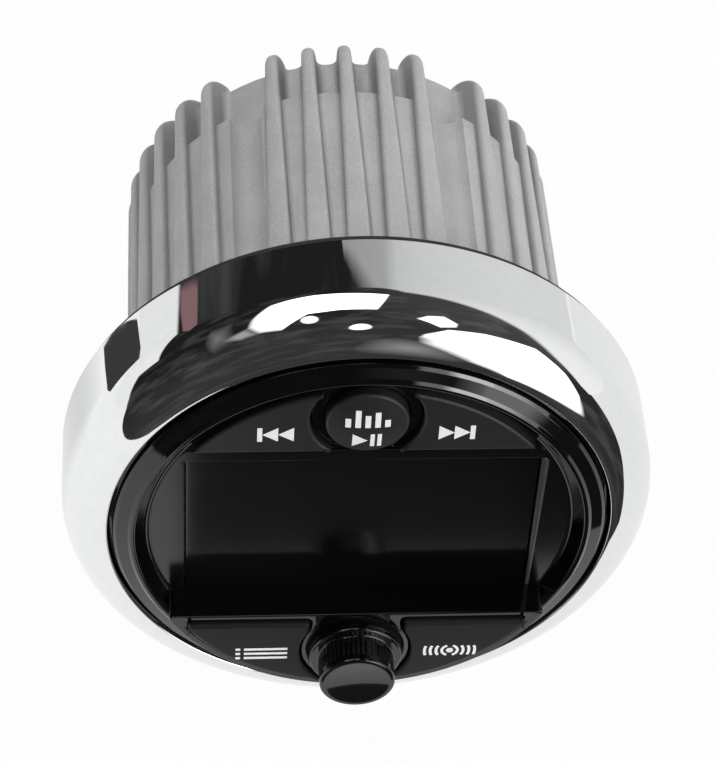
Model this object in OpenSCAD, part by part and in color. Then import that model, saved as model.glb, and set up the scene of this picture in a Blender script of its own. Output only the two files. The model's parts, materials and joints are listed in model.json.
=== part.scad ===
// Marine stereo for a round dash hole: chrome ring, gloss face, display, keys, knob and a finned cast body.
// The origin is on the body's axis in the plane of the dash. The face looks to -Y, the body goes into
// the dash along +Y, and +Z is up. Sizes are in millimetres.

/* [Dash fit] */
// Diameter of the hole in the dash
hole_d = 86; // [80:0.5:92]
// Radial room between the collar and the dash hole
hole_clear = 0.4; // [0.2:0.05:0.8]
// Length of the full round collar behind the dash plane
collar_len = 8.5; // [6:0.5:12]
// Depth of the relief in the collar under the gasket
gasket_relief = 0.6; // [0.4:0.1:0.8]
// Thickness of the gasket behind the ring
gasket_t = 1.5; // [1:0.1:3]

/* [Chrome ring] */
// How far the ring reaches past the dash hole
ring_over = 11.65; // [10:0.05:14]
// Depth of the ring from its front lip to its back edge
ring_depth = 21.3; // [18:0.1:26]
// Radius of the round front of the ring
ring_round = 9.2; // [7.5:0.1:10]
// Width of the ring from its outside to its lip
ring_band = 8.4; // [7.4:0.05:9]
// Wall of the ring
ring_wall = 1.8; // [1.2:0.1:2.4]
// Depth of the lip that turns back around the face
lip_depth = 4.5; // [3:0.1:7]

/* [Face] */
// Room between two fixed pieces that go together
fit_gap = 0.25; // [0.15:0.05:0.4]
// Wall of the face
face_wall = 2; // [1.6:0.1:2.4]
// Depth of the face's floor behind the ring's lip
floor_sink = 1.2; // [0.6:0.1:2.4]
// Width of the slope from the floor to the crest
slope_w = 2.15; // [1.5:0.05:3]
// Height of the rim's crest above the floor
rim_h = 2.7; // [1.5:0.1:4]
// Width of the crest
crest_w = 3.05; // [2.4:0.05:3.6]
// Width of the step between the crest and the ring's lip
rim_step = 1.6; // [1.2:0.1:2]
// Width of the groove in that step
groove_w = 0.6; // [0.4:0.05:0.7]
// Step of the key zone behind the floor
key_zone_sink = 0.4; // [0.2:0.1:0.8]
// Drop of that step's edge below the play key's centre
key_zone_drop = 9.1; // [8.8:0.1:9.6]
// Room around each key in its opening
key_gap = 0.3; // [0.2:0.05:0.4]
// Radius of the four pillars that take the face screws
pillar_r = 1.9; // [1.7:0.1:2.2]
// Room between those pillars and the skirt
pillar_gap = 0.5; // [0.3:0.1:0.8]

/* [Display] */
// Room between the display's frame and the front board's bosses
boss_gap = 1.45; // [1:0.05:4]
// Band between the window and the key zone
window_band = 2.8; // [2.4:0.1:4]
// Width of the window's chamfer
window_chamfer = 1; // [0.5:0.1:1.2]
// Depth of the lens behind the floor
lens_sink = 0.8; // [0.4:0.1:1.2]
// Thickness of the lens flange
lens_flange_t = 1.2; // [0.8:0.1:1.5]
// Width of the lens flange beyond the window
lens_flange_w = 1.2; // [0.8:0.1:1.4]
// Thickness of the display panel
lcd_t = 2; // [1.5:0.1:2.4]
// Wall of the display frame
lcd_frame_wall = 1.3; // [1:0.1:1.5]

/* [Platform] */
// Band of the platform above the knob's axis
platform_band = 10.3; // [10:0.1:10.8]
// Height of the platform above the floor
platform_h = 6.6; // [5:0.1:8]
// How far the platform's outline reaches past the floor
platform_over = 0.7; // [0.4:0.1:1.2]
// Thin wall around the platform's hollow
platform_wall = 1.1; // [0.9:0.1:1.3]

/* [Keys] */
// Travel of each key
key_travel = 0.8; // [0.4:0.1:1]
// Thickness of each key's flange
key_flange_t = 1; // [0.8:0.1:1.2]
// Radius of each key's post
key_post_r = 1.6; // [1.2:0.1:2]
// How far the skip keys stand out of the floor
skip_proud = 1.2; // [0.8:0.1:2]
// Floor left outside the skip keys
skip_margin = 1.2; // [1:0.1:1.8]
// Band between the key zone's edge and the skip keys
skip_step = 0.7; // [0.5:0.1:1.2]
// Radius of the play key
play_r = 7.45; // [6:0.05:7.8]
// Floor left above the play key
play_margin = 1.25; // [1:0.05:2]
// How far the play key stands out of the floor
play_proud = 2.7; // [2:0.1:4]
// Radius of the dark ring around the play key
play_ring_r = 10.1; // [9.4:0.1:11]
// Height of the dome on the play key
play_dome = 0.9; // [0.5:0.1:1.4]
// Platform left outside its keys
base_key_margin = 2; // [1.9:0.1:2.8]
// Platform left above its keys
base_key_drop = 1.8; // [1.7:0.1:3]
// How far the platform keys stop short of the window's sides
base_key_inset = 0.6; // [0.2:0.1:2]
// Inner side of the platform keys
base_key_inner = 8.8; // [8:0.1:10]
// Radius of the platform keys' round around the knob
base_key_round = 10.6; // [10.2:0.1:11.4]
// How far the platform keys stand out
base_key_proud = 1; // [0.6:0.1:1.6]
// Distance of the skip key posts from the play key's ring
skip_post_in = 8.9; // [7:0.1:11]
// Drop of the skip key posts below the play key's centre
skip_post_drop = 2.5; // [1.5:0.1:3.5]
// Distance of the platform key posts from the round about the knob
base_post_in = 9.4; // [7.4:0.1:10.4]
// Rise of the platform key posts above the knob's axis
base_post_rise = 1.3; // [0.3:0.1:2.3]
// Side of each switch
switch_w = 6; // [5:0.1:6.4]
// Height of each switch
switch_h = 3.5; // [3:0.1:4]
// Radius of each switch stem
stem_r = 1.7; // [1.3:0.1:1.9]
// Room around each switch stem
stem_gap = 0.3; // [0.2:0.05:0.4]
// How far each stem stands out of its switch
stem_out = 1; // [0.9:0.1:1.2]

/* [Knob] */
// Distance of the knob's axis from the platform's edge
knob_margin = 11.6; // [11.3:0.1:12.1]
// Radius of the knob's grip
knob_r = 7.15; // [6.6:0.05:7.6]
// Radius of the knob's flange
knob_flange_r = 8.8; // [8.2:0.1:9.4]
// Thickness of the knob's flange
knob_flange_t = 1.6; // [1.2:0.1:2]
// How far the knob stands out of the platform
knob_proud = 8.4; // [8:0.1:12]
// Rounded edge at the knob's end
knob_edge = 1; // [0.5:0.1:1.5]
// Thickness of the knob's end over the shaft
knob_cap_t = 1.2; // [0.8:0.1:2]
// Length of the smooth band between the knob's end and its flutes
flute_start = 1.6; // [1.5:0.1:3]
// Number of flutes around the grip
knob_flutes = 32; // [16:1:40]
// Radius of each flute
flute_r = 0.4; // [0.2:0.05:0.5]
// Travel of the knob when it is pushed
push_travel = 0.5; // [0.3:0.1:0.7]
// Room under the knob's flange
knob_gap = 0.9; // [0.8:0.05:1.2]
// Radius of the encoder shaft
shaft_r = 3; // [2.5:0.1:3]
// Running clearance of the shaft in its bush
shaft_gap = 0.05; // [0.03:0.01:0.08]
// Outer radius of the encoder bush
bush_r = 4; // [3.8:0.1:4.5]
// Side of the encoder body
encoder_w = 12; // [11:0.1:13]
// Height of the encoder body
encoder_h = 6.5; // [6:0.1:7.5]
// Thickness of the encoder body's floor
encoder_floor_t = 0.6; // [0.4:0.1:1]
// Length of the push plunger behind the shaft
plunger_len = 2; // [1.5:0.1:2.4]
// Width of the encoder nut across its corners
nut_d = 11.5; // [10.5:0.1:12]
// Thickness of the encoder nut
nut_t = 2; // [1.6:0.1:2.2]

/* [Boards] */
// Thickness of both boards
board_t = 1.6; // [1.2:0.1:2]
// Depth of the front board's front behind the floor
front_board_at = 9.1; // [8.5:0.1:10]
// Room between the front board and the pillars
board_edge_gap = 0.5; // [0.3:0.1:0.7]
// Distance of the front board screws from the board's edge
boss_edge = 3.2; // [3:0.1:3.6]
// Height of the front board screws
board_boss_z = 9; // [6:0.5:10]
// Radius of the bosses under the front board
board_boss_r = 2; // [1.8:0.1:2]
// Room around the main board
main_board_gap = 0.8; // [0.5:0.1:0.9]
// How far the main board posts lie inside the board's sides
post_inset = 11.8; // [11:0.1:13]
// Radius of the main board posts
post_r = 2.8; // [2.4:0.1:3.2]

/* [Flange plate] */
// Thickness of the flange plate
flange_t = 3; // [2.6:0.1:4]
// How far the flange plate reaches inside its register
flange_lip = 0.95; // [0.5:0.05:3]
// Height of the ring that holds the face's skirt
locator_h = 4.5; // [3:0.1:6]
// Thickness of the face's skirt
skirt_t = 2; // [1.5:0.1:2.2]
// Length of the register that enters the casting
register_len = 5; // [4.5:0.1:8]
// Thickness of the register's wall
register_t = 2.4; // [2.2:0.1:3]
// Section radius of the O-ring
seal_r = 0.8; // [0.6:0.05:0.9]
// Width of the gasket's overlap inside the ring's back edge
gasket_inset = 0.7; // [0.4:0.1:2]

/* [Cast body] */
// Length of the casting behind the dash plane
body_len = 68; // [63:0.5:83]
// Wall of the casting at the collar
cast_wall = 8; // [7:0.1:9]
// How far the flat panels between the ribs lie inside the collar
panel_sink = 1.6; // [1.2:0.1:2.4]
// Length of the open fins behind the panels
fin_len = 16; // [12:0.1:20]
// Wall under the valleys between the open fins
valley_wall = 2.8; // [2.4:0.1:3.4]
// Radius of the round in each valley
valley_round = 2; // [1.4:0.1:2.2]
// Number of rib places around the body
rib_places = 36; // [32:4:48]
// Rib thickness at the collar
rib_front_t = 4.4; // [2.6:0.1:4.6]
// Rib thickness at the rear end
rib_rear_t = 2.4; // [1.6:0.1:2.6]
// Draft of the ribs' outer edge over their length
rib_draft = 0.3; // [0.1:0.05:0.6]
// How far the ribs' roots lie outside the casting's bore
rib_root = 1; // [0.5:0.1:2]
// Round on the rear corner of the ribs
rib_corner = 6.5; // [2:0.1:6.6]
// Thickness of the rear wall
rear_wall = 5; // [4:0.1:7]
// How far the rear wall lies inside the ribs' ends
rear_sink = 3.7; // [0.5:0.1:4.5]
// Angle of the screw channels from the vertical
channel_angle = 28.5; // [28:0.1:29]
// Radius of the screw channels
channel_r = 3.4; // [3.2:0.1:4.8]
// Wall under the screw channels
channel_wall = 3.1; // [2.4:0.1:3.6]

/* [Fasteners] */
// Shank radius of the case screws
case_screw_r = 1.5; // [1.2:0.1:1.6]
// Head radius of the case screws
case_head_r = 2.1; // [1.9:0.1:2.2]
// Room between the case screw heads and the bottom of their channels
head_gap = 0.2; // [0.1:0.1:0.4]
// Shank radius of the small screws
small_screw_r = 1.1; // [0.9:0.1:1.2]
// Head radius of the small screws
small_head_r = 1.9; // [1.7:0.1:2]
// Height of the screw heads
head_h = 1.5; // [1.2:0.1:1.6]
// Depth of the cross slot in the screw heads
slot_depth = 0.7; // [0.4:0.1:0.9]
// Width of the cross slot
slot_w = 0.6; // [0.3:0.05:0.8]
// Rim that is left around the cross slot
slot_rim = 0.7; // [0.5:0.1:0.9]
// Length of the small screws
small_screw_len = 6.4; // [5:0.2:7]
// Room around a screw in its hole
screw_gap = 0.1; // [0.05:0.05:0.2]

/* [Rear wall] */
// Spacing of the two threaded holes for the clamp bracket
bracket_spacing = 48; // [40:1:50]
// Radius of those holes
bracket_hole_r = 2.1; // [1.6:0.1:2.6]
// Depth of those holes
bracket_hole_depth = 10; // [6:0.5:12]
// Metal around and under those holes
bracket_wall = 2.1; // [1.5:0.1:2.5]
// Depth of the cable gland below the axis
gland_z = 15; // [13:0.5:16]
// Radius of the gland's groove in the wall
gland_r = 8; // [7:0.1:9]
// Radius of the cable passage
gland_bore_r = 5; // [3.5:0.1:5.5]
// Width of the gland's lips beyond the hole
gland_lip = 2; // [1.5:0.1:2.5]
// Thickness of the gland's lips
gland_lip_t = 2.5; // [2:0.1:4]
// Height of the antenna socket above the axis
antenna_z = 14; // [12:0.5:16]
// Outer radius of the antenna socket
antenna_r = 6.5; // [6:0.1:7]
// Radius of the antenna socket's bore
antenna_bore_r = 4.6; // [4.2:0.1:5]
// Depth of the antenna socket's bore
antenna_depth = 12; // [10:0.5:14]
// Width and thickness of the antenna socket's collar
antenna_lip = 1.5; // [1:0.1:2]
// Width of the antenna nut's wall at its corners
antenna_nut_w = 2.5; // [2:0.1:3]
// How far the antenna socket stands out of the rear wall
antenna_out = 6; // [4:0.5:8]

/* [Amplifier] */
// Half width of the chip
chip_hw = 10; // [8:0.5:10]
// Height of the chip
chip_h = 16; // [12:0.5:18]
// Thickness of the chip
chip_t = 4.8; // [4:0.1:5]
// Depth of the cooled land below the top of the casting's inside
land_drop = 9.1; // [8.6:0.1:9.6]
// Thickness of the thermal pad
pad_t = 0.5; // [0.3:0.1:1]
// Height of the chip's legs above the board
leg_h = 3; // [2:0.1:4]
// Number of legs
leg_count = 7; // [5:1:9]
// Width of each leg
leg_w = 0.9; // [0.6:0.1:1.2]
// Thickness of each leg
leg_t = 0.6; // [0.4:0.1:0.8]
// Width of the clamp bar
clamp_w = 8; // [6:0.5:9]
// Thickness of the clamp bar
clamp_t = 1.5; // [1:0.1:2]
// How far the clamp screws enter the casting
clamp_screw_in = 3; // [2:0.1:4]
// Room between the clamp screws and the chip
clamp_gap = 1.2; // [1.1:0.1:1.8]

/* [Parts on the boards] */
// Radius of the reservoir capacitors
cap_r = 6.25; // [5:0.25:6.5]
// Height of the reservoir capacitors
cap_h = 21; // [16:0.5:22]
// Room between the reservoir capacitors' ends and the antenna socket
cap_end_gap = 0.7; // [0.5:0.1:4]
// Room between the two reservoir capacitors
cap_gap = 2; // [1:0.5:3]
// Room between the reservoir capacitors and the clamp screws
cap_drop = 3.95; // [2.95:0.05:6.95]
// Ring radius of the choke
choke_r = 6; // [5:0.1:6.5]
// Section radius of the choke
choke_wire_r = 2.6; // [2:0.1:3]
// Distance of the choke's middle from the main board's side
choke_in = 16.2; // [14.8:0.2:17.8]
// Drop of the choke's middle below the reservoir capacitors
choke_drop = 15; // [13.5:0.5:16]
// Width of the tuner can
tuner_w = 30; // [24:0.5:32]
// Depth of the tuner can
tuner_d = 20; // [16:0.5:20]
// Height of the tuner can
tuner_h = 9; // [6:0.5:11]
// Place of the tuner can above the axis
tuner_z = 2; // [1:0.5:3]
// Side of the processor chip
processor_w = 12; // [8:0.5:12]
// Height of the processor chip
processor_h = 1.4; // [1:0.1:2]
// Place of the processor chip beside the axis
processor_x = 3; // [1:0.5:6]
// Width of the wireless module
wireless_w = 15.6; // [12:0.2:17]
// Height of the wireless module
wireless_h = 2.8; // [2:0.1:3.4]
// Place of the wireless module beside the axis
wireless_x = 4; // [1:0.5:5]
// Place of both below the axis
chip_row_z = 2; // [1:0.5:4]
// Width of the ribbon cable
ribbon_w = 20; // [14:0.5:22]
// Thickness of the ribbon cable
ribbon_t = 0.4; // [0.3:0.1:0.8]
// Depth of each ribbon socket
socket_d = 5; // [4:0.1:5.5]
// Height of each ribbon socket
socket_h = 4; // [3:0.1:5]
// Wall of each ribbon socket beside the cable
socket_wall = 1; // [0.6:0.1:1.5]
// Place of the front ribbon socket below the axis
socket_front_z = 10; // [8:0.5:11]
// Distance of the rear ribbon socket from the main board's edge
socket_in = 7.8; // [7.3:0.1:8.8]
// Width of the harness header
header_w = 16; // [12:0.5:16]
// Depth of the harness header
header_d = 8; // [6:0.5:8]
// Height of the harness header
header_h = 10; // [6:0.5:12]
// Distance of the harness header from the main board's edge
header_in = 9.8; // [9.3:0.1:11.8]

/* [Hidden] */

$fn = 96;
// Overlap that lets a cut pass cleanly through a face
over = 1;
// Thickness of the thin sheets that a sloping cut runs between
sheet_t = 0.01;

// Radii, from the dash hole outwards to the ring and inwards to the casting
collar_r = hole_d / 2 - hole_clear;
shoulder_r = collar_r - gasket_relief;
ring_r = hole_d / 2 + ring_over;
ring_in_r = ring_r - ring_wall;
flange_r = ring_in_r - fit_gap;
lip_r = ring_r - ring_band;
skirt_r = lip_r - fit_gap;
skirt_in_r = skirt_r - skirt_t;
crest_out = skirt_r - rim_step;
crest_in = crest_out - crest_w;
floor_r = crest_in - slope_w;
pillar_at = skirt_in_r - pillar_r - pillar_gap;
front_board_r = pillar_at - pillar_r - board_edge_gap;
cast_in_r = collar_r - cast_wall;
panel_r = collar_r - panel_sink;
valley_r = cast_in_r + valley_wall;
channel_floor = cast_in_r + channel_wall;
case_screw_at = channel_floor + case_head_r + head_gap;
register_r = cast_in_r - fit_gap;
flange_open_r = register_r - register_t - flange_lip;
seal_at = cast_in_r - screw_gap - seal_r;
main_board_r = cast_in_r - main_board_gap;

// Planes along the body's axis
ring_back_y = -gasket_t;
lip_y = ring_back_y - ring_depth;
floor_y = lip_y + floor_sink;
floor_back_y = floor_y + face_wall;
crest_y = floor_y - rim_h;
platform_y = floor_y - platform_h;
platform_back_y = platform_y + face_wall;
flange_front_y = ring_back_y - flange_t;
lens_back_y = floor_back_y + lens_flange_t;
front_board_y = floor_y + front_board_at;
front_board_back_y = front_board_y + board_t;
rear_face_y = body_len - rear_sink;
rear_inside_y = rear_face_y - rear_wall;
step_y = body_len - fin_len;
antenna_end_y = rear_inside_y - nut_t - antenna_out;
main_board_back_y = antenna_end_y - cap_end_gap - cap_h;
main_board_y = main_board_back_y - board_t;

// Places on the face
play_z = floor_r - play_margin - play_r;
key_zone_z = play_z - key_zone_drop;
skip_z = key_zone_z + skip_step;
skip_r = floor_r - skip_margin;
skip_post_x = play_ring_r + skip_post_in;
skip_post_z = play_z - skip_post_drop;
platform_r = floor_r + platform_over;
knob_z = platform_r - knob_margin;
platform_z = knob_z - platform_band;
base_key_r = platform_r - base_key_margin;
base_key_z = platform_z + base_key_drop;
base_post_x = base_key_round + base_post_in;
base_post_z = knob_z - base_post_rise;
board_boss_x = front_board_r - boss_edge;

// Display, whose frame lies between the front board's bosses
lcd_hw = board_boss_x - board_boss_r - boss_gap - lcd_frame_wall - fit_gap;
window_hw = lcd_hw + lens_flange_w;
base_key_side = window_hw - base_key_inset;
window_top = key_zone_z - window_band;
window_bottom = -platform_z;
lens_hw = window_hw - fit_gap;
lens_bottom = window_bottom + fit_gap;
lens_top = window_top - fit_gap;
lcd_bottom = window_bottom + lens_flange_w;
lcd_top = window_top - lens_flange_w;
lcd_back_y = lens_back_y + lcd_t;

// Keys
key_flange_y = floor_back_y + fit_gap;
base_key_flange_y = platform_back_y + fit_gap;
switch_y = front_board_y - switch_h;
stem_y = switch_y - stem_out;
stem_in = key_travel + stem_gap;
stem_end_y = front_board_y - stem_in - stem_gap;
platform_in_r = platform_r - platform_wall;
platform_in_z = platform_z + platform_wall;
switch_places = [[0, play_z], [-skip_post_x, skip_post_z], [skip_post_x, skip_post_z],
  [-base_post_x, -base_post_z], [base_post_x, -base_post_z]];

// Knob and encoder
knob_back_y = platform_y - knob_gap;
knob_end_y = platform_y - knob_proud;
nut_front_y = platform_y - nut_t;
knob_hollow_y = nut_front_y - push_travel - fit_gap;
knob_hollow_r = nut_d / 2 + fit_gap;
shaft_end_y = knob_end_y + knob_cap_t;
encoder_front_y = front_board_y - encoder_h;
plunger_end_y = front_board_y - encoder_floor_t - push_travel - fit_gap;
shaft_back_y = plunger_end_y - plunger_len;

// Cast body
rib_angle = 360 / rib_places;
channel_places = [channel_angle, -channel_angle, 180 - channel_angle, 180 + channel_angle];
channel_clear = asin((channel_r + rib_front_t / 4) / channel_floor);
channel_at = channel_floor + channel_r;

// Amplifier and the parts on the boards
land_z = cast_in_r - land_drop;
clamp_screw_x = chip_hw + small_screw_r + screw_gap + clamp_gap;
post_at = main_board_r - post_inset;
chip_y = main_board_back_y + leg_h;
chip_top = land_z - pad_t;
clamp_y = chip_y + chip_h / 2;
clamp_seat_z = chip_top - chip_t - clamp_t;
clamp_hw = clamp_screw_x + 2 * small_screw_r;
cap_z = clamp_seat_z - head_h - cap_drop - cap_r;
choke_x = main_board_r - choke_in;
choke_z = choke_drop - cap_z;
socket_rear_z = main_board_r - socket_in;
header_z = main_board_r - header_in;

// Repeated places
boss_places = [for (sx = [-1, 1]) for (sz = [-1, 1]) [sx * board_boss_x, sz * board_boss_z]];
post_places = [for (sx = [-1, 1]) for (sz = [-1, 1]) [sx * post_at, sz * post_at]];
pillar_angles = [45, 135, 225, 315];

// Colours
chrome_colour = [0.78, 0.79, 0.8];
gloss_colour = [0.05, 0.05, 0.055];
key_colour = [0.13, 0.13, 0.14];
cast_colour = [0.62, 0.62, 0.63];
plastic_colour = [0.1, 0.1, 0.11];
board_colour = [0.08, 0.3, 0.16];
steel_colour = [0.6, 0.6, 0.62];
brass_colour = [0.75, 0.6, 0.3];
nickel_colour = [0.75, 0.75, 0.76];
rubber_colour = [0.08, 0.08, 0.08];
lens_colour = [0.07, 0.075, 0.08];
lcd_colour = [0.2, 0.24, 0.22];
guide_colour = [0.85, 0.87, 0.88];
pale_colour = [0.85, 0.84, 0.8];
switch_colour = [0.16, 0.16, 0.17];
stem_colour = [0.75, 0.72, 0.65];
encoder_colour = [0.3, 0.31, 0.33];
chip_colour = [0.1, 0.1, 0.1];
pad_colour = [0.7, 0.7, 0.75];
capacitor_colour = [0.16, 0.2, 0.3];
copper_colour = [0.72, 0.42, 0.2];
wireless_colour = [0.25, 0.4, 0.5];

// Draws a profile of (radius, y) points turned around the body's axis
module lathe() {
  rotate([-90, 0, 0])
    rotate_extrude()
      children();
}

// Extrudes a front view outline of (x, z) points from y_front to y_back
module slab(y_front, y_back) {
  translate([0, y_back, 0])
    rotate([90, 0, 0])
      linear_extrude(y_back - y_front)
        children();
}

// A round bar along the axis at a place of the front view
module bar(place, r, y_front, y_back) {
  translate([place[0], y_back, place[1]])
    rotate([90, 0, 0])
      cylinder(r = r, h = y_back - y_front);
}

// A box from its lowest to its highest corner
module block(low, high) {
  translate(low)
    cube(high - low);
}

// A screw along the axis: the head's seat is at y_seat, and the shank goes to y_tip
module screw(place, shank_r, head_r, y_seat, y_tip) {
  away = y_seat > y_tip ? 1 : -1;
  head_end = y_seat + away * head_h;
  slot_floor = head_end - away * slot_depth;
  bar(place, shank_r, min(y_seat, y_tip), max(y_seat, y_tip));
  difference() {
    bar(place, head_r, min(y_seat, head_end), max(y_seat, head_end));
    for (turn = [0, 90])
      translate([place[0], 0, place[1]])
        rotate([0, turn, 0])
          block([slot_rim - head_r, min(slot_floor, head_end + away), -slot_w / 2],
                [head_r - slot_rim, max(slot_floor, head_end + away), slot_w / 2]);
  }
}

function polar(r, angle) = [r * sin(angle), r * cos(angle)];

// Smallest turn between two directions
function turn_between(a, b) = abs((a - b + 540) % 360 - 180);

// Whether a rib at this angle would stand in a screw channel
function in_channel(angle) = min([for (c = channel_places) turn_between(angle, c)]) < channel_clear;

// Key outlines, each larger all round by grow

module half_plane_above(z) {
  translate([-2 * ring_r, z])
    square([4 * ring_r, 2 * ring_r]);
}

module half_plane_below(z) {
  translate([-2 * ring_r, z - 2 * ring_r])
    square([4 * ring_r, 2 * ring_r]);
}

module play_outline(grow) {
  translate([0, play_z])
    circle(play_r + grow);
}

module skip_outline(side, grow) {
  difference() {
    intersection() {
      circle(skip_r + grow);
      half_plane_above(skip_z - grow);
      translate([side > 0 ? 0 : -ring_r, 0])
        square([ring_r, ring_r]);
    }
    translate([0, play_z])
      circle(play_ring_r - grow);
  }
}

module base_key_outline(side, grow) {
  inner = base_key_inner - grow;
  outer = base_key_side + grow;
  difference() {
    intersection() {
      circle(base_key_r + grow);
      half_plane_below(-base_key_z + grow);
      translate([side > 0 ? inner : -outer, -ring_r])
        square([outer - inner, ring_r]);
    }
    translate([0, -knob_z])
      circle(base_key_round - grow);
  }
}

module platform_outline(r, z) {
  intersection() {
    circle(r);
    half_plane_below(-z);
  }
}

// Chrome ring

module ring_section() {
  centre = [ring_r - ring_round, lip_y + ring_round];
  difference() {
    union() {
      intersection() {
        translate(centre)
          circle(ring_round);
        translate([lip_r, lip_y])
          square([ring_r - lip_r, ring_round]);
      }
      translate([lip_r, centre[1]])
        square([ring_r - lip_r, ring_back_y - centre[1]]);
    }
    translate(centre)
      intersection() {
        circle(ring_round - ring_wall);
        translate([lip_r + ring_wall - centre[0], -ring_round])
          square([ring_r, ring_round]);
      }
    translate([lip_r + ring_wall, centre[1]])
      square([ring_in_r - lip_r - ring_wall, ring_depth]);
    translate([lip_r - over, lip_y + lip_depth])
      square([ring_wall + 2 * over, ring_depth]);
  }
}

module bezel_ring() {
  color(chrome_colour)
    lathe()
      ring_section();
}

// Face

module face_section() {
  polygon([
    [0, floor_y], [floor_r, floor_y], [crest_in, crest_y], [crest_out, crest_y],
    [crest_out + groove_w / 2, crest_y + groove_w], [skirt_r - groove_w, crest_y + 1.5 * groove_w],
    [skirt_r, lip_y - floor_sink / 4], [skirt_r, flange_front_y], [skirt_in_r, flange_front_y],
    [skirt_in_r, crest_y + face_wall], [crest_in - face_wall / 2, crest_y + face_wall],
    [floor_r - face_wall / 2, floor_back_y], [0, floor_back_y]
  ]);
}

module window_cut() {
  slab(floor_y - over, floor_back_y + over)
    translate([-window_hw, window_bottom])
      square([2 * window_hw, window_top - window_bottom]);
  hull() {
    block([-window_hw, floor_y + window_chamfer, window_bottom],
          [window_hw, floor_y + window_chamfer + sheet_t, window_top]);
    block([-window_hw - window_chamfer, floor_y - sheet_t, window_bottom],
          [window_hw + window_chamfer, floor_y, window_top + window_chamfer]);
  }
}

module face_plate() {
  color(gloss_colour)
    difference() {
      union() {
        difference() {
          lathe()
            face_section();
          window_cut();
          slab(floor_y - over, floor_y + key_zone_sink)
            intersection() {
              circle(floor_r - key_gap);
              half_plane_above(key_zone_z);
            }
        }
        slab(platform_y, floor_back_y)
          platform_outline(platform_r, platform_z);
        for (p = boss_places)
          bar(p, board_boss_r, floor_back_y - over, front_board_y);
        for (a = pillar_angles)
          bar(polar(pillar_at, a), pillar_r, crest_y + face_wall - over / 2, flange_front_y);
      }
      slab(platform_back_y, floor_back_y + over)
        platform_outline(platform_in_r, platform_in_z);
      slab(floor_y - over, floor_back_y + over)
        play_outline(key_gap);
      for (side = [-1, 1]) {
        slab(floor_y - over, floor_back_y + over)
          skip_outline(side, key_gap);
        slab(platform_y - over, platform_back_y + over)
          base_key_outline(side, key_gap);
      }
      bar([0, -knob_z], bush_r + screw_gap, platform_y - over, platform_back_y + over);
      for (p = boss_places)
        bar(p, small_screw_r + screw_gap, floor_back_y, front_board_y + over);
      for (a = pillar_angles)
        bar(polar(pillar_at, a), small_screw_r + screw_gap, crest_y + 2 * face_wall,
            flange_front_y + over);
    }
}

// Display

module display_lens() {
  flange_hw = window_hw + lens_flange_w;
  flange_bottom = window_bottom - platform_wall + fit_gap;
  flange_top = window_top + lens_flange_w;
  color(lens_colour) {
    slab(floor_y + lens_sink, floor_back_y)
      translate([-lens_hw, lens_bottom])
        square([2 * lens_hw, lens_top - lens_bottom]);
    slab(floor_back_y, lens_back_y)
      translate([-flange_hw, flange_bottom])
        square([2 * flange_hw, flange_top - flange_bottom]);
  }
}

module lcd_outline(grow) {
  translate([-lcd_hw - grow, lcd_bottom - grow])
    square([2 * (lcd_hw + grow), lcd_top - lcd_bottom + 2 * grow]);
}

module lcd_panel() {
  color(lcd_colour)
    slab(lens_back_y, lcd_back_y)
      lcd_outline(0);
}

module lcd_light_guide() {
  color(guide_colour)
    slab(lcd_back_y, front_board_y)
      lcd_outline(0);
}

module lcd_frame() {
  color(pale_colour)
    slab(lens_back_y, front_board_y)
      difference() {
        lcd_outline(fit_gap + lcd_frame_wall);
        lcd_outline(fit_gap);
      }
}

// Front board, switches and keys

module front_board() {
  color(board_colour)
    difference() {
      slab(front_board_y, front_board_back_y)
        circle(front_board_r);
      for (p = boss_places)
        bar(p, small_screw_r + screw_gap, front_board_y - over, front_board_back_y + over);
    }
}

module front_board_screws() {
  color(steel_colour)
    for (p = boss_places)
      screw(p, small_screw_r, small_head_r, front_board_back_y, front_board_back_y - small_screw_len);
}

module key_switches() {
  color(switch_colour)
    for (p = switch_places)
      difference() {
        slab(switch_y, front_board_y)
          translate([p[0] - switch_w / 2, p[1] - switch_w / 2])
            square(switch_w);
        bar(p, stem_r + stem_gap, switch_y - over, stem_end_y + stem_in);
      }
}

module stem(p) {
  color(stem_colour)
    bar(p, stem_r, stem_y, stem_end_y);
}

module play_stem() {
  stem(switch_places[0]);
}

module skip_back_stem() {
  stem(switch_places[1]);
}

module skip_forward_stem() {
  stem(switch_places[2]);
}

module source_stem() {
  stem(switch_places[3]);
}

module band_stem() {
  stem(switch_places[4]);
}

// Half section of the play key: a flat dome on a straight wall, then the flange and the post
module play_section() {
  dome_r = (play_r * play_r + play_dome * play_dome) / (2 * play_dome);
  dome_y = floor_y - play_proud;
  intersection() {
    translate([0, dome_y + dome_r])
      circle(dome_r);
    translate([0, dome_y - over])
      square([play_r, key_flange_y + key_flange_t - dome_y + over]);
  }
  translate([0, key_flange_y])
    square([play_r + 2 * key_gap, key_flange_t]);
  translate([0, key_flange_y])
    square([key_post_r, stem_y - key_flange_y]);
}

module play_button() {
  color(key_colour)
    translate([0, 0, play_z])
      lathe()
        play_section();
}

module skip_button(side) {
  color(key_colour) {
    slab(floor_y - skip_proud, key_flange_y)
      skip_outline(side, 0);
    slab(key_flange_y, key_flange_y + key_flange_t)
      skip_outline(side, 2 * key_gap);
    bar([side * skip_post_x, skip_post_z], key_post_r, key_flange_y, stem_y);
  }
}

module skip_back_button() {
  skip_button(-1);
}

module skip_forward_button() {
  skip_button(1);
}

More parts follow.
